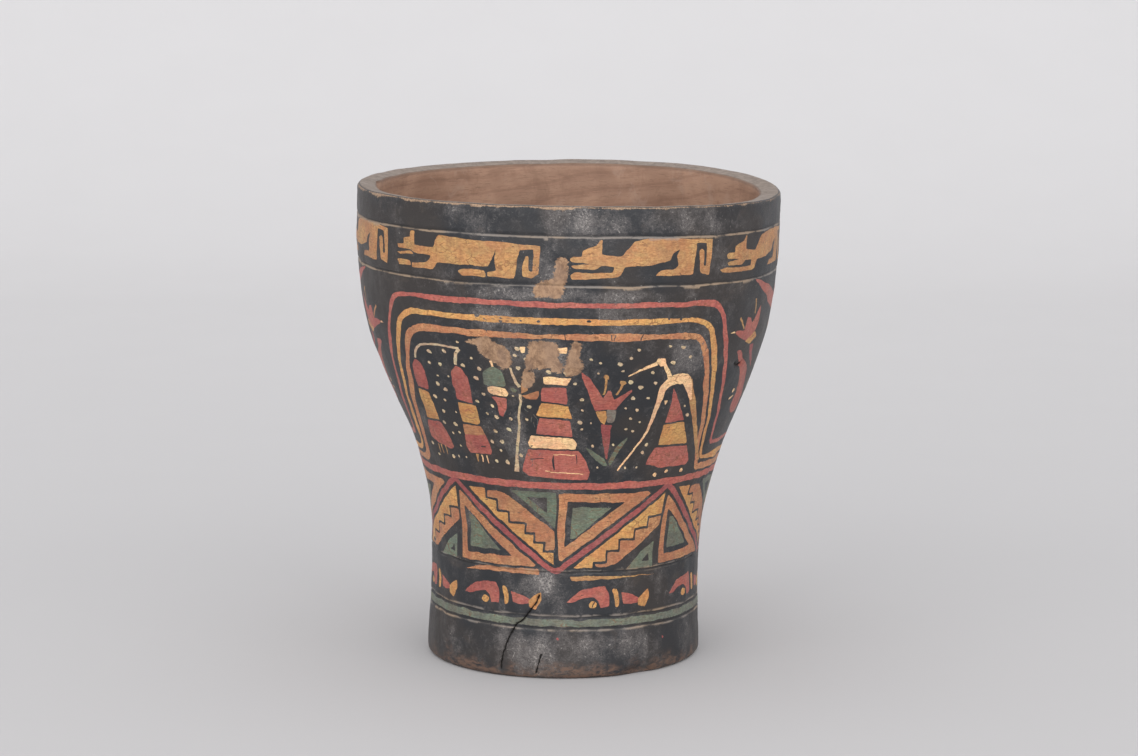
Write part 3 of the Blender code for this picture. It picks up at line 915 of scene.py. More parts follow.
def sheet_net():
    """Points and triangles of the drawing, cut along every outline."""
    points, edges = [], []
    for line, closed in sheet_lines():
        first = len(points)
        points.extend(map(tuple, line))
        last = len(points) - 1
        edges.extend((index, index + 1) for index in range(first, last))
        if closed:
            edges.append((last, first))
    tree = KDTree(len(points))
    for index, (u, h) in enumerate(points):
        tree.insert((u, h, 0.0), index)
    tree.balance()
    rows = int((HIGH - LOW) / GRID)
    columns = int(TURN / GRID)
    for row in range(1, rows):
        h = LOW + (HIGH - LOW) * row / rows
        for column in range(1, columns):
            u = -HALF_TURN + (column + 0.5 * (row % 2)) * TURN / columns
            if u < HALF_TURN - 0.5 and tree.find((u, h, 0.0))[2] > 0.55:
                points.append((u, h))
    result = delaunay_2d_cdt([Vector(p) for p in points], edges, [], 0, 0.002, False)
    net = np.array([(p.x, p.y) for p in result[0]])
    faces = np.array([face for face in result[2] if len(face) == 3])
    a, b, c = net[faces[:, 0]], net[faces[:, 1]], net[faces[:, 2]]
    area = (b[:, 0] - a[:, 0]) * (c[:, 1] - a[:, 1]) - (b[:, 1] - a[:, 1]) * (c[:, 0] - a[:, 0])
    faces[area < 0] = faces[area < 0][:, ::-1]
    return net, faces[np.abs(area) > 1e-7]


def paint_faces(net, faces):
    """The index of the top shape over each face, or -1 for bare ground."""
    middle = net[faces].mean(axis=1)
    order = np.argsort(middle[:, 1])
    us, hs = middle[order].T
    top = np.full(len(faces), -1)
    for index, (_, outline, _) in enumerate(shapes):
        odd = np.zeros(len(us), bool)
        for a, b in zip(outline, np.roll(outline, -1, axis=0)):
            if a[1] == b[1]:
                continue
            low, high = (a, b) if a[1] < b[1] else (b, a)
            start, end = np.searchsorted(hs, [low[1], high[1]])
            part = slice(start, end)
            at = low[0] + (hs[part] - low[1]) * (high[0] - low[0]) / (high[1] - low[1])
            odd[part] ^= us[part] < at
        top[order[odd]] = index
    return top


# The surface


def line_wave(u, line):
    """How far an incised line strays up or down as it runs round."""
    return 0.12 * field(u, u * 0.0, int(line * 10), 22.0)


def groove_depth(points):
    """How deep the incised lines cut at each point."""
    u, h = points.T
    depth = np.zeros(len(points))
    for line in LINES:
        near = 1.0 - np.abs(h - line - line_wave(u, line)) / LINE_HALF
        uneven = 0.8 + 0.2 * field(u, h * 0.0, int(line), 16.0)
        cut = LINE_DEPTH * np.clip(near, 0.0, 1.0) * np.clip(uneven, 0.35, 1.2)
        depth = np.maximum(depth, cut)
    return depth


def loss_distance(points):
    """How far inside a loss each point lies, and less than 0 outside them all."""
    return np.max([distance_in(points, np.array(outline)) for outline in LOSSES], axis=0)


def bite(place, edge, middle, angle, height):
    """How deep a bite out of an edge goes at each point, and far below 0 beside it."""
    at, length, tall, deep = place
    along = (angle - at + math.pi) % (2.0 * math.pi) - math.pi
    left = 1.0 - (along * edge / (length / 2.0)) ** 2 - ((height - middle) / tall) ** 2
    return np.where(left > 0.0, deep * np.sqrt(np.clip(left, 0.0, None)), -FAR)


def chip_foot(radius, angle, height):
    """The foot's radius with the chip taken out."""
    return np.minimum(radius, RADII[0] - bite(CHIP, RADII[0], 0.0, angle, height))


def nick_lip(radius, angle, height):
    """The hollow's radius with the nick taken out of the lip."""
    edge = inner_radius(TOP)
    return np.maximum(radius, edge + bite(NICK, edge, TOP - LIP_FALL, angle, height))


def round_edge(radius, height, size, way, steps, share=0.0):
    """A rounded edge of a profile, from its widest point inward and up or down."""
    turns = [math.pi / 2.0 * step / steps for step in range(1, steps + 1)]
    return [(radius + size * math.cos(turn), height + way * size * math.sin(turn), share) for turn in turns]


def lip_profile():
    """Radius, height and share of the hollow's offset, over the lip and down to the floor's middle."""
    lip_radius = RADII[-1] - LIP_EDGE
    points = round_edge(lip_radius, HIGH, LIP_EDGE, 1.0, 4)
    inner_top = inner_radius(TOP - LIP_FALL)
    for share in (0.2, 0.4, 0.6, 0.8, 0.92):
        points.append((lip_radius + (inner_top - lip_radius) * share, TOP - LIP_FALL * share, share))
    points.append((inner_top + 0.15, TOP - LIP_FALL - 0.2, 1.0))
    corner_top = FLOOR + FLOOR_CORNER
    wall = np.linspace(TOP - LIP_FALL - 3.0, corner_top, 38)
    for height in (TOP - LIP_FALL - 0.8, *wall):
        points.append((float(inner_radius(height)), height, 1.0))
    floor_edge = float(inner_radius(corner_top)) - FLOOR_CORNER
    points += round_edge(floor_edge, corner_top, FLOOR_CORNER, -1.0, 6, 1.0)
    for share in (0.85, 0.65, 0.45, 0.25, 0.1):
        points.append((floor_edge * share, FLOOR, 1.0))
    return points


def foot_profile():
    """The same round the foot's edge and in to the underside's middle."""
    inward = [(radius, 0.0, 0.0) for radius in (47.0, 40.0, 30.0, 20.0, 10.0)]
    return round_edge(RADII[0] - FOOT_EDGE, FOOT_EDGE, FOOT_EDGE, -1.0, 4) + inward


def weld_seam(net, faces, top):
    """Joins the sheet's two ends: each point's number after it, and the faces that are left."""
    left = np.where(net[:, 0] < -HALF_TURN + 0.01)[0]
    right = np.where(net[:, 0] > HALF_TURN - 0.01)[0]
    joined = np.arange(len(net))
    for index in right:
        gap = np.abs(net[left, 1] - net[index, 1])
        nearest = int(np.argmin(gap))
        if gap[nearest] < 0.05:
            joined[index] = left[nearest]
    faces = joined[faces]
    good = (faces != np.roll(faces, 1, axis=1)).all(axis=1)
    return joined, faces[good], top[good]


def sheet_edge(net, joined, chosen):
    """The points of one edge of the sheet, in order round the cup."""
    ring = joined[np.where(chosen)[0]]
    ring = ring[np.argsort(net[ring, 0])]
    return ring[np.concatenate([[True], np.diff(ring) != 0])]


def side_places(net):
    """The sheet's points on the carved side, set in where it is incised, lost, cracked or chipped."""
    u, h = net.T
    angle = u / SCALE - math.pi / 2.0
    inset = groove_depth(net) + LOSS_DEPTH * blend(-0.2, 0.9, loss_distance(net))
    for path, _, half, deep, _ in CRACKS:
        inset = inset + deep * np.clip(1.0 - line_distance(net, path) / half, 0.0, 1.0)
    rough = 0.10 * field(u, h, 31, 15.0) + 0.03 * field(u, h, 32, 3.5)
    fade = blend(LOW, LOW + 6.0, h) * blend(HIGH, HIGH - 4.0, h)
    radius = outer_radius(h) - inset - 0.05 + rough * fade
    return carved(chip_foot(radius, angle, h), angle, h)


class Surface:
    """The cup's points and triangles: the side, then ring by ring to the axis above and below."""

    def __init__(self, places, sheet, faces):
        self.places = [places]
        self.sheet = [sheet]
        self.kinds = [np.full(len(places), SIDE)]
        self.faces = [faces]
        self.count = len(places)

    def add(self, places, u, h, kind):
        """Adds points and gives their numbers."""
        self.places.append(places)
        self.sheet.append(np.stack([u, np.full(len(places), h)], axis=1))
        self.kinds.append(np.full(len(places), kind))
        self.count += len(places)
        return np.arange(self.count - len(places), self.count)

    def join(self, ring, new, upward):
        """Triangles between two rings of points."""
        a, b = ring, np.roll(ring, -1)
        c, d = np.roll(new, -1), new
        for corners in ((a, b, c), (a, c, d)) if upward else ((b, a, d), (b, d, c)):
            self.faces.append(np.stack(corners, axis=1))

    def turn(self, profile, ring, upward):
        """Carries on from an edge of the sheet along a profile."""
        u = self.sheet[0][ring, 0]
        angle = u / SCALE - math.pi / 2.0
        worn = 0.06 * field(u, u * 0.0, 41, 18.0) + 0.02 * field(u, u * 0.0, 42, 4.0)
        before = (RADII[-1], HIGH) if upward else (RADII[0], LOW)
        h = before[1]
        way = 1.0 if upward else -1.0
        for mean, height, share in profile:
            radius = np.full(len(ring), mean)
            level = np.full(len(ring), height)
            kind = SIDE
            if upward:
                if share > 0.0 or height > HIGH + 1.2:
                    kind = HOLLOW
                if share > 0.75:
                    radius = nick_lip(radius, angle, level)
                if height > HIGH:
                    level = level + worn * (1.0 if share < 0.95 else 0.5)
            else:
                if height < 0.5:
                    kind = UNDER
                radius = chip_foot(radius, angle, level)
            h += way * math.hypot(mean - before[0], height - before[1])
            before = (mean, height)
            new = self.add(carved(radius, angle, level, share), u, h, kind)
            self.join(ring, new, upward)
            ring = new
        none = np.zeros(1)
        centre = carved(none, none, none + before[1], 1.0 if upward else 0.0)
        hub = self.add(centre, none, h + way * 5.0, HOLLOW if upward else UNDER)
        self.join(ring, np.repeat(hub, len(ring)), upward)

    def parts(self):
        """Places, sheet places, kinds and triangles, less what is unused, and the box's middle."""
        triangles = np.concatenate(self.faces)
        corners = np.sort(triangles, axis=1)
        triangles = triangles[(np.diff(corners, axis=1) > 0).all(axis=1)]
        used = np.zeros(self.count, bool)
        used[triangles.ravel()] = True
        triangles = (np.cumsum(used) - 1)[triangles]
        places = np.concatenate(self.places)[used]
        middle = (places.min(axis=0) + places.max(axis=0)) / 2.0
        middle[2] = 0.0
        sheet = np.concatenate(self.sheet)[used]
        return places - middle, sheet, np.concatenate(self.kinds)[used], triangles, middle


def make_mesh(places, triangles):
    """A smooth mesh of these triangles."""
    mesh = bpy.data.meshes.new("inlaid_kero")
    mesh.vertices.add(len(places))
    mesh.vertices.foreach_set("co", (places * MM).astype(np.float32).ravel())
    mesh.loops.add(len(triangles) * 3)
    mesh.loops.foreach_set("vertex_index", triangles.astype(np.int32).ravel())
    mesh.polygons.add(len(triangles))
    mesh.polygons.foreach_set("loop_start", np.arange(len(triangles), dtype=np.int32) * 3)
    mesh.update(calc_edges=True)
    mesh.validate()
    mesh.shade_smooth()
    return mesh


def lay_colours(mesh, top):
    """The inlay's colours, a little different for each figure, with alpha 1 where there is inlay."""
    rng = np.random.default_rng(12)
    tones = rng.uniform(0.92, 1.08, (figure[0] + 1, 1)) * rng.uniform(0.98, 1.02, (figure[0] + 1, 3))
    shades = []
    for paint, _, number in shapes:
        if paint == "black":
            shades.append((*PAINTS["black"], 0.0))
        else:
            shades.append((*(np.array(PAINTS[paint]) * tones[number]), 1.0))
    colours = np.zeros((len(mesh.polygons), 4))
    colours[:, :3] = PAINTS["black"]
    drawn = np.where(top >= 0)[0]
    colours[drawn] = np.array(shades)[top[drawn]]
    layer = mesh.color_attributes.new("paint", "FLOAT_COLOR", "CORNER")
    layer.data.foreach_set("color", np.repeat(colours, 3, axis=0).astype(np.float32).ravel())


def line_edge_wear_and_highlight(u, h):
    """How worn and pale the edges beside the incised lines are: wear and a painted highlight."""
    worn = np.zeros(len(u))
    for line, shares in zip(LINES, LINE_WEAR_AND_HIGHLIGHT):
        off = h - line - line_wave(u, line)
        much = np.clip(0.85 + 0.30 * field(u, u * 0.0, int(line * 10) + 1, 14.0), 0.45, 1.0)
        for share, middle in zip(shares, (-LINE_HALF, LINE_HALF)):
            worn = np.maximum(worn, share * much * np.exp(-(((off - middle) / 0.38) ** 2)))
    return worn


def wear(sheet, kinds):
    """How bare, lost, cut, cracked and worn the surface is at each point, by name, with the painted
    highlight beside the incised lines and the painted light at the front of the foot.
    """
    u, h = sheet.T
    side = kinds == SIDE
    hollow = kinds == HOLLOW
    on_sheet = side & (h <= HIGH) & (h >= LOW)
    crack = np.zeros(len(u))
    for path, _, _, _, half in CRACKS:
        crack = np.maximum(crack, blend(half + 0.22, half * 0.3, line_distance(sheet, path)))
    scuff_and_painted_light = 0.16 + 0.07 * field(u, h, 51, 26.0) + 0.06 * field(u, h, 52, 8.0)
    for middle, level, wide, tall, much in SCUFFS_AND_PAINTED_LIGHT:
        scuff_and_painted_light = scuff_and_painted_light + much * np.exp(-(((u - middle) / wide) ** 2) - ((h - level) / tall) ** 2)
    foot = blend(6.6, 1.6, h + 1.3 * field(u, h, 61, 14.0) + 0.7 * field(u, h, 62, 4.0))
    uneven_lip = 0.20 * field(u, h * 0.0, 63, 9.0) + 0.16 * field(u, h * 0.0, 64, 3.0)
    lip = blend(183.3, 184.4, h + uneven_lip) * (0.60 + 0.40 * np.exp(-(((u + 25.0) / 60.0) ** 2)))
    return {
        "bare": hollow * 1.0,
        "loss": np.clip(0.5 + loss_distance(sheet) / 3.0, 0.0, 1.0),
        "groove": groove_depth(sheet) / LINE_DEPTH * on_sheet,
        "edge": line_edge_wear_and_highlight(u, h) * on_sheet,
        "crack": crack * side,
        "scuff_and_painted_light": np.clip(scuff_and_painted_light, 0.0, 1.0),
        "foot_wear": foot * np.where(side, 1.0, 0.3),
        "lip_wear": lip * side,
        "depth": np.clip((h - HIGH) / HOLLOW_RUN, 0.0, 1.0) * hollow,
    }


def lay_flat(mesh, places, sheet, kinds, triangles):
    """Gives the cup a flat map of its surface, for baking its textures."""
    u, v = sheet[triangles, 0], sheet[triangles, 1]
    wrapped = np.ptp(u, axis=1) > HALF_TURN
    u = u + np.where(wrapped[:, None] & (u < 0.0), TURN, 0.0) + HALF_TURN
    v = np.where(v > STRIP_BEND, STRIP_BEND + (v - STRIP_BEND) * HOLLOW_SQUEEZE, v) + STRIP_LIFT
    for kind, top, across, facing in ((UNDER, 2.0, 60.0, -1.0), (HOLLOW, FLOOR + 2.0, 160.0, 1.0)):
        disc = ((kinds == kind) & (places[:, 2] < top))[triangles].all(axis=1)[:, None]
        u = np.where(disc, places[triangles, 0] * facing + across, u)
        v = np.where(disc, places[triangles, 1] + DISC_ROW, v)
    layer = mesh.uv_layers.new(name="OFBake")
    flat_map = np.stack([u.ravel(), v.ravel()], axis=1) / MAP_SIZE
    layer.data.foreach_set("uv", flat_map.astype(np.float32).ravel())


def build_cup():
    """The whole cup as one closed mesh, with its drawing and wear as attributes."""
    net, faces = sheet_net()
    joined, faces, top = weld_seam(net, faces, paint_faces(net, faces))
    surface = Surface(side_places(net), net, faces)
    surface.turn(lip_profile(), sheet_edge(net, joined, net[:, 1] > HIGH - 0.001), True)
    surface.turn(foot_profile(), sheet_edge(net, joined, net[:, 1] < LOW + 0.001), False)
    places, sheet, kinds, triangles, middle = surface.parts()
    mesh = make_mesh(places, triangles)
    lay_colours(mesh, top)
    values = wear(sheet, kinds)
    for name, data in values.items():
        layer = mesh.attributes.new(name, "FLOAT", "POINT")
        layer.data.foreach_set("value", np.asarray(data, np.float32))
    lay_flat(mesh, places, sheet, kinds, triangles)
    mesh.materials.append(InlaidWood().finish())
    mesh.materials.append(make_bare_wood())
    inside_faces = values["bare"][triangles].min(axis=1) > 0.5
    mesh.polygons.foreach_set("material_index", inside_faces.astype(np.int32))
    cup = bpy.data.objects.new("inlaid_kero", mesh)
    bpy.context.scene.collection.objects.link(cup)
    return cup, middle


# Materials


class Nodes:
    """Short ways to make shader nodes."""

    def __init__(self, name):
        self.material = bpy.data.materials.new(name)
        self.material.use_nodes = True
        self.tree = self.material.node_tree
        self.shader = self.tree.nodes["Principled BSDF"]
        self.place = self.new("ShaderNodeTexCoord").outputs["Object"]

    def new(self, kind, **settings):
        node = self.tree.nodes.new(kind)
        for key, value in settings.items():
            setattr(node, key, value)
        return node

    def put(self, socket, value):
        if isinstance(value, bpy.types.NodeSocket):
            self.tree.links.new(value, socket)
        elif isinstance(value, tuple) and len(value) == 3 and socket.type == "RGBA":
            socket.default_value = (*value, 1.0)
        else:
            socket.default_value = value

    def feed(self, node, **values):
        """Sets or links a node's inputs by name, with _ for a space."""
        for name, value in values.items():
            self.put(node.inputs[name.replace("_", " ")], value)

    def stretch(self, scale, move=(0.0, 0.0, 0.0), turn=(0.0, 0.0, 0.0)):
        """The place on the object, moved, turned and scaled."""
        node = self.new("ShaderNodeMapping")
        self.feed(node, Vector=self.place, Location=move, Rotation=turn, Scale=scale)
        return node.outputs["Vector"]

    def noise(self, size, detail=3.0, rough=0.55, bend=0.0, tall=1.0, move=(0.0, 0.0, 0.0)):
        """Cloudy values about 0.5, with features of this size in mm; tall under 1 flattens them."""
        node = self.new("ShaderNodeTexNoise")
        place = self.stretch((1.0, 1.0, 1.0 / tall), move)
        self.feed(node, Vector=place, Scale=1.0 / (size * MM))
        self.feed(node, Detail=detail, Roughness=rough, Distortion=bend)
        return node.outputs["Fac"]

    def attribute(self, name):
        return self.new("ShaderNodeAttribute", attribute_name=name).outputs["Fac"]

    def math(self, way, a, b, clamp=False):
        node = self.new("ShaderNodeMath", operation=way, use_clamp=clamp)
        self.put(node.inputs[0], a)
        self.put(node.inputs[1], b)
        return node.outputs[0]

    def plus(self, a, b):
        return self.math("ADD", a, b)

    def minus(self, a, b):
        return self.math("SUBTRACT", a, b)

    def times(self, a, b):
        return self.math("MULTIPLY", a, b)

    def swing(self, noise, much):
        """A noise's share above or below its middle."""
        return self.times(self.minus(noise, 0.5), much)

    def step(self, value, low, high, at_low=0.0, at_high=1.0):
        """A smooth step as a value goes from low to high."""
        node = self.new("ShaderNodeMapRange", interpolation_type="SMOOTHSTEP")
        self.feed(node, Value=value, From_Min=low, From_Max=high, To_Min=at_low, To_Max=at_high)
        return node.outputs["Result"]

    def mix(self, share, a, b, way="MIX"):
        node = self.new("ShaderNodeMix", data_type="RGBA", blend_type=way)
        self.put(node.inputs["Factor"], share)
        self.put(node.inputs[6], a)
        self.put(node.inputs[7], b)
        return node.outputs[2]

    def between(self, value, low, high, at_low, at_high):
        """A colour that goes from one to another as a value goes from low to high."""
        return self.mix(self.step(value, low, high), at_low, at_high)

    def cover(self, under, value, low, high, most, over):
        """Lays a colour over another, by this share at most, as a value goes from low to high."""
        return self.mix(self.step(value, low, high, 0.0, most), under, over)

    def tint(self, colour, value, low, high, at_low, at_high):
        """Multiplies a colour by a tone that changes as a value goes from low to high."""
        return self.mix(1.0, colour, self.between(value, low, high, at_low, at_high), "MULTIPLY")

    def bump(self, height, strength, distance, **values):
        node = self.new("ShaderNodeBump")
        self.feed(node, Strength=strength, Distance=distance, Height=height, **values)
        return node.outputs["Normal"]


class InlaidWood(Nodes):
    """Dark lacquer with coloured resin inlay, worn, scuffed and in places gone to the wood."""

    def __init__(self):
        super().__init__("inlaid_wood")
        self.paint = self.new("ShaderNodeAttribute", attribute_name="paint")
        self.inlay = self.paint.outputs["Alpha"]
        self.scuff_and_painted_light = self.attribute("scuff_and_painted_light")
        self.streaks = self.noise(1.5, 4.0, 0.65, 0.3, tall=0.32)
        self.upright = self.noise(1.1, 4.0, 0.65, 0.3, tall=2.6, move=(6.0, 2.0, 9.0))
        self.fine = self.noise(0.62, 3.0, 0.65, 0.0, tall=0.8, move=(3.0, 1.0, 2.0))
        self.grit = self.noise(0.9, 4.0, 0.75, 0.6, move=(9.0, 4.0, 1.0))
        self.cloud = self.noise(11.0, 4.0, 0.6, 0.5, move=(5.0, 2.0, 7.0))
        self.broad = self.noise(34.0, 2.0, 0.5, 0.3, move=(1.0, 6.0, 3.0))
        self.film = None
        self.crazed = None
        self.chipped = None
        self.laid = None

    def lacquer(self):
        """Near black and cool, browner in clouds, with a grey film and pale flecks where rubbed; the film
        at the front of the foot is partly painted light.
        """
        ground = self.between(self.broad, 0.42, 0.62, (0.027, 0.028, 0.031), (0.040, 0.035, 0.033))
        ground = self.cover(ground, self.cloud, 0.54, 0.74, 0.5, (0.075, 0.060, 0.050))
        mottle = self.noise(2.3, 7.0, 0.80, 0.5, move=(8.0, 3.0, 5.0))
        # The rubbed grey film, which at the front of the foot is also painted light
        worn = self.plus(self.scuff_and_painted_light, self.swing(mottle, 1.3))
        self.film = self.times(self.step(worn, 0.14, 0.80), self.step(self.fine, 0.34, 0.60, 0.35, 1.0))
        ground = self.mix(self.times(self.film, 0.80), ground, (0.180, 0.163, 0.156))
        rub = self.plus(self.grit, self.times(worn, 0.22))
        ground = self.cover(ground, rub, 0.69, 0.79, 0.60, (0.38, 0.35, 0.32))
        return self.cover(ground, self.fine, 0.40, 0.28, 0.6, (0.018, 0.018, 0.019))

    def crazing(self):
        """Distance to the nearest of the fine cracks that net the inlay."""
        shake = self.new("ShaderNodeTexNoise")
        self.feed(shake, Vector=self.place, Scale=400.0)
        shrink = self.new("ShaderNodeVectorMath", operation="SCALE")
        self.put(shrink.inputs[0], shake.outputs["Color"])
        self.feed(shrink, Scale=0.004)
        bent = self.new("ShaderNodeVectorMath", operation="ADD")
        self.put(bent.inputs[0], self.stretch((1.0, 1.0, 1.7)))
        self.put(bent.inputs[1], shrink.outputs[0])
        cells = self.new("ShaderNodeTexVoronoi", feature="DISTANCE_TO_EDGE")
        self.feed(cells, Vector=bent.outputs[0], Scale=190.0)
        return cells.outputs["Distance"]

    def resin(self):
        """Streaked and mottled, crazed and dirty in its pores."""
        colour = self.paint.outputs["Color"]
        colour = self.tint(colour, self.streaks, 0.34, 0.68, (0.78, 0.74, 0.72), (1.14, 1.16, 1.16))
        colour = self.tint(colour, self.cloud, 0.36, 0.64, (0.86, 0.80, 0.84), (1.07, 1.10, 1.04))
        colour = self.tint(colour, self.upright, 0.36, 0.64, (0.88, 0.88, 0.90), (1.06, 1.05, 1.03))
        patch = self.noise(7.0, 4.0, 0.6, 0.8, tall=0.6, move=(3.0, 9.0, 6.0))
        colour = self.tint(colour, patch, 0.36, 0.64, (1.04, 0.955, 0.93), (0.97, 1.03, 1.01))
        colour = self.cover(colour, self.grit, 0.60, 0.74, 0.30, (0.66, 0.53, 0.42))
        colour = self.cover(colour, self.grit, 0.42, 0.28, 0.62, (0.105, 0.062, 0.045))
        lines = self.noise(2.4, 5.0, 0.70, 0.7, tall=0.15, move=(1.0, 5.0, 8.0))
        colour = self.cover(colour, lines, 0.40, 0.32, 0.55, (0.20, 0.100, 0.060))
        self.crazed = self.times(self.step(self.crazing(), 0.055, 0.015), self.step(self.cloud, 0.50, 0.60))
        return self.mix(self.times(self.crazed, 0.6), colour, (0.16, 0.065, 0.035))

    def chip_off(self, ground, colour):
        """Lays the inlay in the ground, less the flecks that are chipped off it."""
        flecks = self.noise(1.9, 5.0, 0.75, 0.8, tall=0.6, move=(2.0, 8.0, 4.0))
        self.chipped = self.step(self.plus(flecks, self.times(self.scuff_and_painted_light, 0.13)), 0.655, 0.70)
        kept = self.math("SUBTRACT", 1.0, self.chipped, True)
        self.laid = self.math("MULTIPLY", self.inlay, kept, True)
        return self.mix(self.laid, ground, colour)

    def worn_and_highlit_edges(self, surface):
        """Worn edges with a painted highlight beside the incised lines, and worn edges round the foot and
        at the lip.
        """
        # The pale edges beside the incised lines: wear and a painted highlight
        broken = self.step(self.noise(4.0, 4.0, 0.7, 0.6, tall=0.5), 0.34, 0.52, 0.48, 1.0)
        edge = self.times(self.attribute("edge"), broken)
        tone = self.between(self.broad, 0.44, 0.60, (0.27, 0.235, 0.205), (0.38, 0.275, 0.185))
        surface = self.cover(surface, edge, 0.14, 0.60, 0.70, tone)
        broken = self.step(self.noise(3.5, 5.0, 0.7, 0.6, tall=0.4), 0.36, 0.60)
        foot = self.times(self.attribute("foot_wear"), broken)
        surface = self.mix(self.times(foot, 0.74), surface, (0.165, 0.098, 0.068))
        lip = self.plus(self.attribute("lip_wear"), self.swing(self.grit, 1.6))
        tone = self.between(self.fine, 0.36, 0.62, (0.23, 0.145, 0.095), (0.41, 0.28, 0.18))
        return self.cover(surface, lip, 0.42, 0.72, 0.9, tone)

    def lost_wood(self):
        """The bare wood where a piece is lost."""
        grain = self.noise(3.0, 6.0, 0.74, 0.4, tall=1.3, move=(4.0, 4.0, 4.0))
        wood = self.between(grain, 0.34, 0.64, (0.17, 0.100, 0.064), (0.40, 0.250, 0.150))
        wood = self.cover(wood, self.cloud, 0.45, 0.62, 0.4, (0.27, 0.180, 0.130))
        return self.cover(wood, self.grit, 0.62, 0.74, 0.6, (0.56, 0.40, 0.27))

    def finish(self):
        """Puts the whole surface together."""
        surface = self.chip_off(self.lacquer(), self.resin())
        surface = self.worn_and_highlit_edges(surface)
        frayed = self.swing(self.noise(1.8, 6.0, 0.8, 0.4, tall=0.7), 1.5)
        lost = self.step(self.plus(self.attribute("loss"), frayed), 0.50, 0.56)
        surface = self.mix(lost, surface, self.lost_wood())
        # Darker in the incised lines: dirt and painted shade in the grooves
        surface = self.mix(self.times(self.attribute("groove"), 0.5), surface, (0.022, 0.020, 0.020))
        surface = self.mix(self.step(self.attribute("crack"), 0.35, 0.85), surface, (0.010, 0.009, 0.008))

        dull = self.plus(self.times(self.film, 0.5), self.times(self.streaks, 0.5))
        dull = self.math("MAXIMUM", self.step(dull, 0.15, 0.7, 0.42, 0.66), self.times(lost, 0.85))

        relief = self.plus(self.times(self.streaks, 0.5), self.times(self.grit, 0.45))
        relief = self.minus(relief, self.times(self.times(self.chipped, self.inlay), 0.45))
        relief = self.minus(relief, self.times(self.times(self.crazed, self.laid), 0.4))
        relief = self.plus(relief, self.times(self.times(frayed, lost), 0.5))
        normal = self.bump(relief, 0.45, 0.0003)
        normal = self.bump(self.inlay, 0.35, 0.0001, Normal=normal)
        self.feed(self.shader, Base_Color=surface, Roughness=dull, Normal=normal)
        self.feed(self.shader, Specular_IOR_Level=0.23, Metallic=0.0)
        return self.material


def make_bare_wood():
    """The bare brown wood of the lip and the hollow, smoothed with use."""
    n = Nodes("bare_wood")
    wave = n.new("ShaderNodeTexWave", wave_type="BANDS", bands_direction="Z", wave_profile="SIN")
    place = n.stretch((0.30, 0.30, 1.0), turn=(0.25, 0.50, 0.3))
    n.feed(wave, Vector=place, Scale=46.0, Distortion=5.0, Detail=3.0, Detail_Scale=1.4)
    grain = wave.outputs["Fac"]
    fine = n.noise(4.5, 5.0, 0.68, 0.3, tall=0.13)
    cloud = n.noise(18.0, 4.0, 0.55, 0.6, move=(4.0, 3.0, 8.0))
    blot = n.noise(10.0, 5.0, 0.7, 1.0, tall=1.6, move=(7.0, 7.0, 1.0))
    bright = n.noise(1.6, 2.0, 0.5, 0.0, move=(2.0, 9.0, 3.0))

    wood = n.between(cloud, 0.34, 0.66, (0.275, 0.160, 0.108), (0.400, 0.245, 0.168))
    wood = n.mix(n.times(n.step(grain, 0.35, 0.95), 0.25), wood, (0.42, 0.27, 0.185))
    wood = n.cover(wood, grain, 0.12, 0.02, 0.22, (0.15, 0.082, 0.054))
    wood = n.cover(wood, fine, 0.50, 0.32, 0.45, (0.175, 0.100, 0.068))
    wood = n.cover(wood, blot, 0.56, 0.70, 0.28, (0.44, 0.32, 0.25))
    wood = n.cover(wood, blot, 0.46, 0.30, 0.36, (0.19, 0.108, 0.070))
    wood = n.cover(wood, bright, 0.80, 0.84, 0.6, (0.62, 0.50, 0.40))

    # The lip is greyer, with a dark line of painted shade where the hollow starts
    grey = n.between(n.noise(2.6, 5.0, 0.65, 0.5), 0.34, 0.66, (0.185, 0.145, 0.118), (0.28, 0.226, 0.185))
    grey = n.cover(grey, fine, 0.42, 0.30, 0.4, (0.11, 0.08, 0.062))
    depth = n.attribute("depth")
    wood = n.mix(n.step(depth, 0.048, 0.054), grey, wood)
    # A thin band of painted shade at the lip's inner edge
    line = n.times(n.step(depth, 0.047, 0.050), n.step(depth, 0.060, 0.054))
    wood = n.mix(n.times(line, 0.5), wood, (0.10, 0.062, 0.045))

    relief = n.plus(n.times(fine, 0.5), n.times(grain, 0.2))
    n.feed(n.shader, Base_Color=wood, Roughness=n.step(cloud, 0.3, 0.7, 0.52, 0.68))
    n.feed(n.shader, Specular_IOR_Level=0.3, Normal=n.bump(relief, 0.35, 0.0003))
    return n.material


# The scene

# The sweep's half width, front, back, curve and height, in metres
STAGE = (4.0, -2.2, 1.9, 0.9, 2.6)
# The camera: its focal length and the picture's width in pixels, its place in mm and its pitch
FOCAL_PIXELS = 3319.0
PICTURE_WIDTH = 1138.0
SENSOR = 36.0
CAMERA_PLACE = (2.32, -1286.0, 315.7)
CAMERA_PITCH = math.radians(9.177)
# What the lights face
LIT = Vector((0.0, 0.0, 0.08))


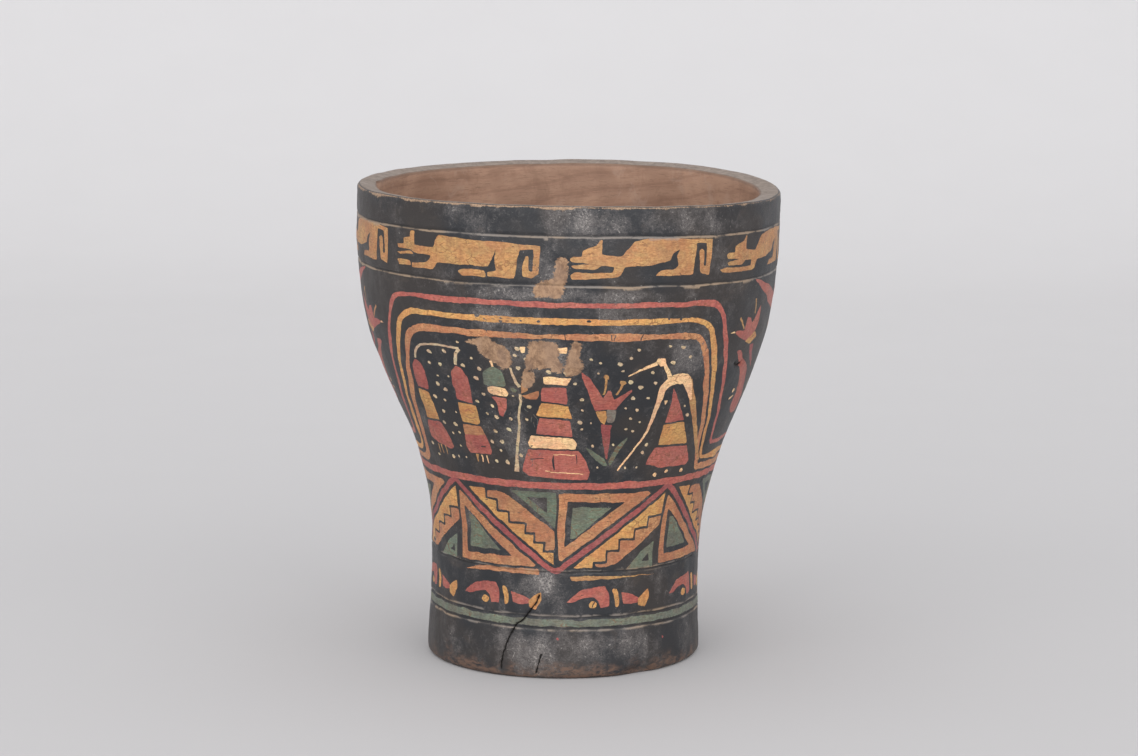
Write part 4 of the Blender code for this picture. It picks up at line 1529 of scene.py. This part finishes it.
def add_stage():
    """A pale sweep: floor, curve and back, its floor painted darker towards the front as painted shade."""
    width, front, back, radius, height = STAGE
    profile = [(front, 0.0), (0.0, 0.0), (back - radius, 0.0)]
    for step in range(1, 17):
        turn = math.pi / 2.0 * step / 16
        profile.append((back - radius + radius * math.sin(turn), radius - radius * math.cos(turn)))
    profile.append((back, height))
    mesh = bpy.data.meshes.new("floor")
    points = [(x, y, z) for y, z in profile for x in (-width, width)]
    faces = [(i * 2, i * 2 + 1, i * 2 + 3, i * 2 + 2) for i in range(len(profile) - 1)]
    mesh.from_pydata(points, [], faces)
    mesh.shade_smooth()
    floor = bpy.data.objects.new("floor", mesh)
    bpy.context.scene.collection.objects.link(floor)
    n = Nodes("pale_floor")
    pale = n.mix(n.noise(60.0, 3.0, 0.5), (0.67, 0.657, 0.652), (0.69, 0.677, 0.672))
    split = n.new("ShaderNodeSeparateXYZ")
    n.put(split.inputs[0], n.place)
    # Painted shade: the floor darkens towards the camera
    near = n.step(split.outputs["Y"], 1.6, -0.5)
    pale = n.mix(near, pale, (0.515, 0.505, 0.502))
    n.feed(n.shader, Base_Color=pale, Roughness=0.9, Specular_IOR_Level=0.1)
    mesh.materials.append(n.material)


def add_light(name, place, size, power):
    """A soft light that faces the cup."""
    data = bpy.data.lights.new(name, "AREA")
    data.shape = "RECTANGLE"
    data.size, data.size_y = size
    data.energy = power
    light = bpy.data.objects.new(name, data)
    light.location = place
    light.rotation_euler = (LIT - Vector(place)).to_track_quat("-Z", "Y").to_euler()
    bpy.context.scene.collection.objects.link(light)


def add_world():
    """Even pale light from all round."""
    world = bpy.data.worlds.new("studio")
    world.use_nodes = True
    back = world.node_tree.nodes["Background"]
    back.inputs["Color"].default_value = (0.95, 0.96, 1.0, 1.0)
    back.inputs["Strength"].default_value = 0.87
    bpy.context.scene.world = world


def add_camera(shift):
    """The view of the photograph."""
    data = bpy.data.cameras.new("camera")
    data.sensor_width = SENSOR
    data.lens = FOCAL_PIXELS / PICTURE_WIDTH * SENSOR
    data.clip_start = 0.05
    data.clip_end = 50.0
    camera = bpy.data.objects.new("camera", data)
    camera.location = [(place - moved) * MM for place, moved in zip(CAMERA_PLACE, shift)]
    camera.rotation_euler = (math.radians(90.0) - CAMERA_PITCH, 0.0, 0.0)
    bpy.context.scene.collection.objects.link(camera)
    bpy.context.scene.camera = camera


cup, middle = build_cup()
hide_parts("kero_cup")
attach(cup, "root")
add_stage()
add_light("key", (-1.4, -1.6, 1.15), (1.9, 1.7), 13.0)
add_light("fill", (1.4, -1.6, 1.15), (1.9, 1.7), 11.0)
add_light("front", (0.0, -2.0, 0.45), (2.4, 0.7), 19.0)
add_light("top", (0.0, 0.5, 2.2), (2.2, 2.2), 7.5)
add_world()
add_camera(middle)
bpy.context.scene.view_settings.view_transform = "Standard"
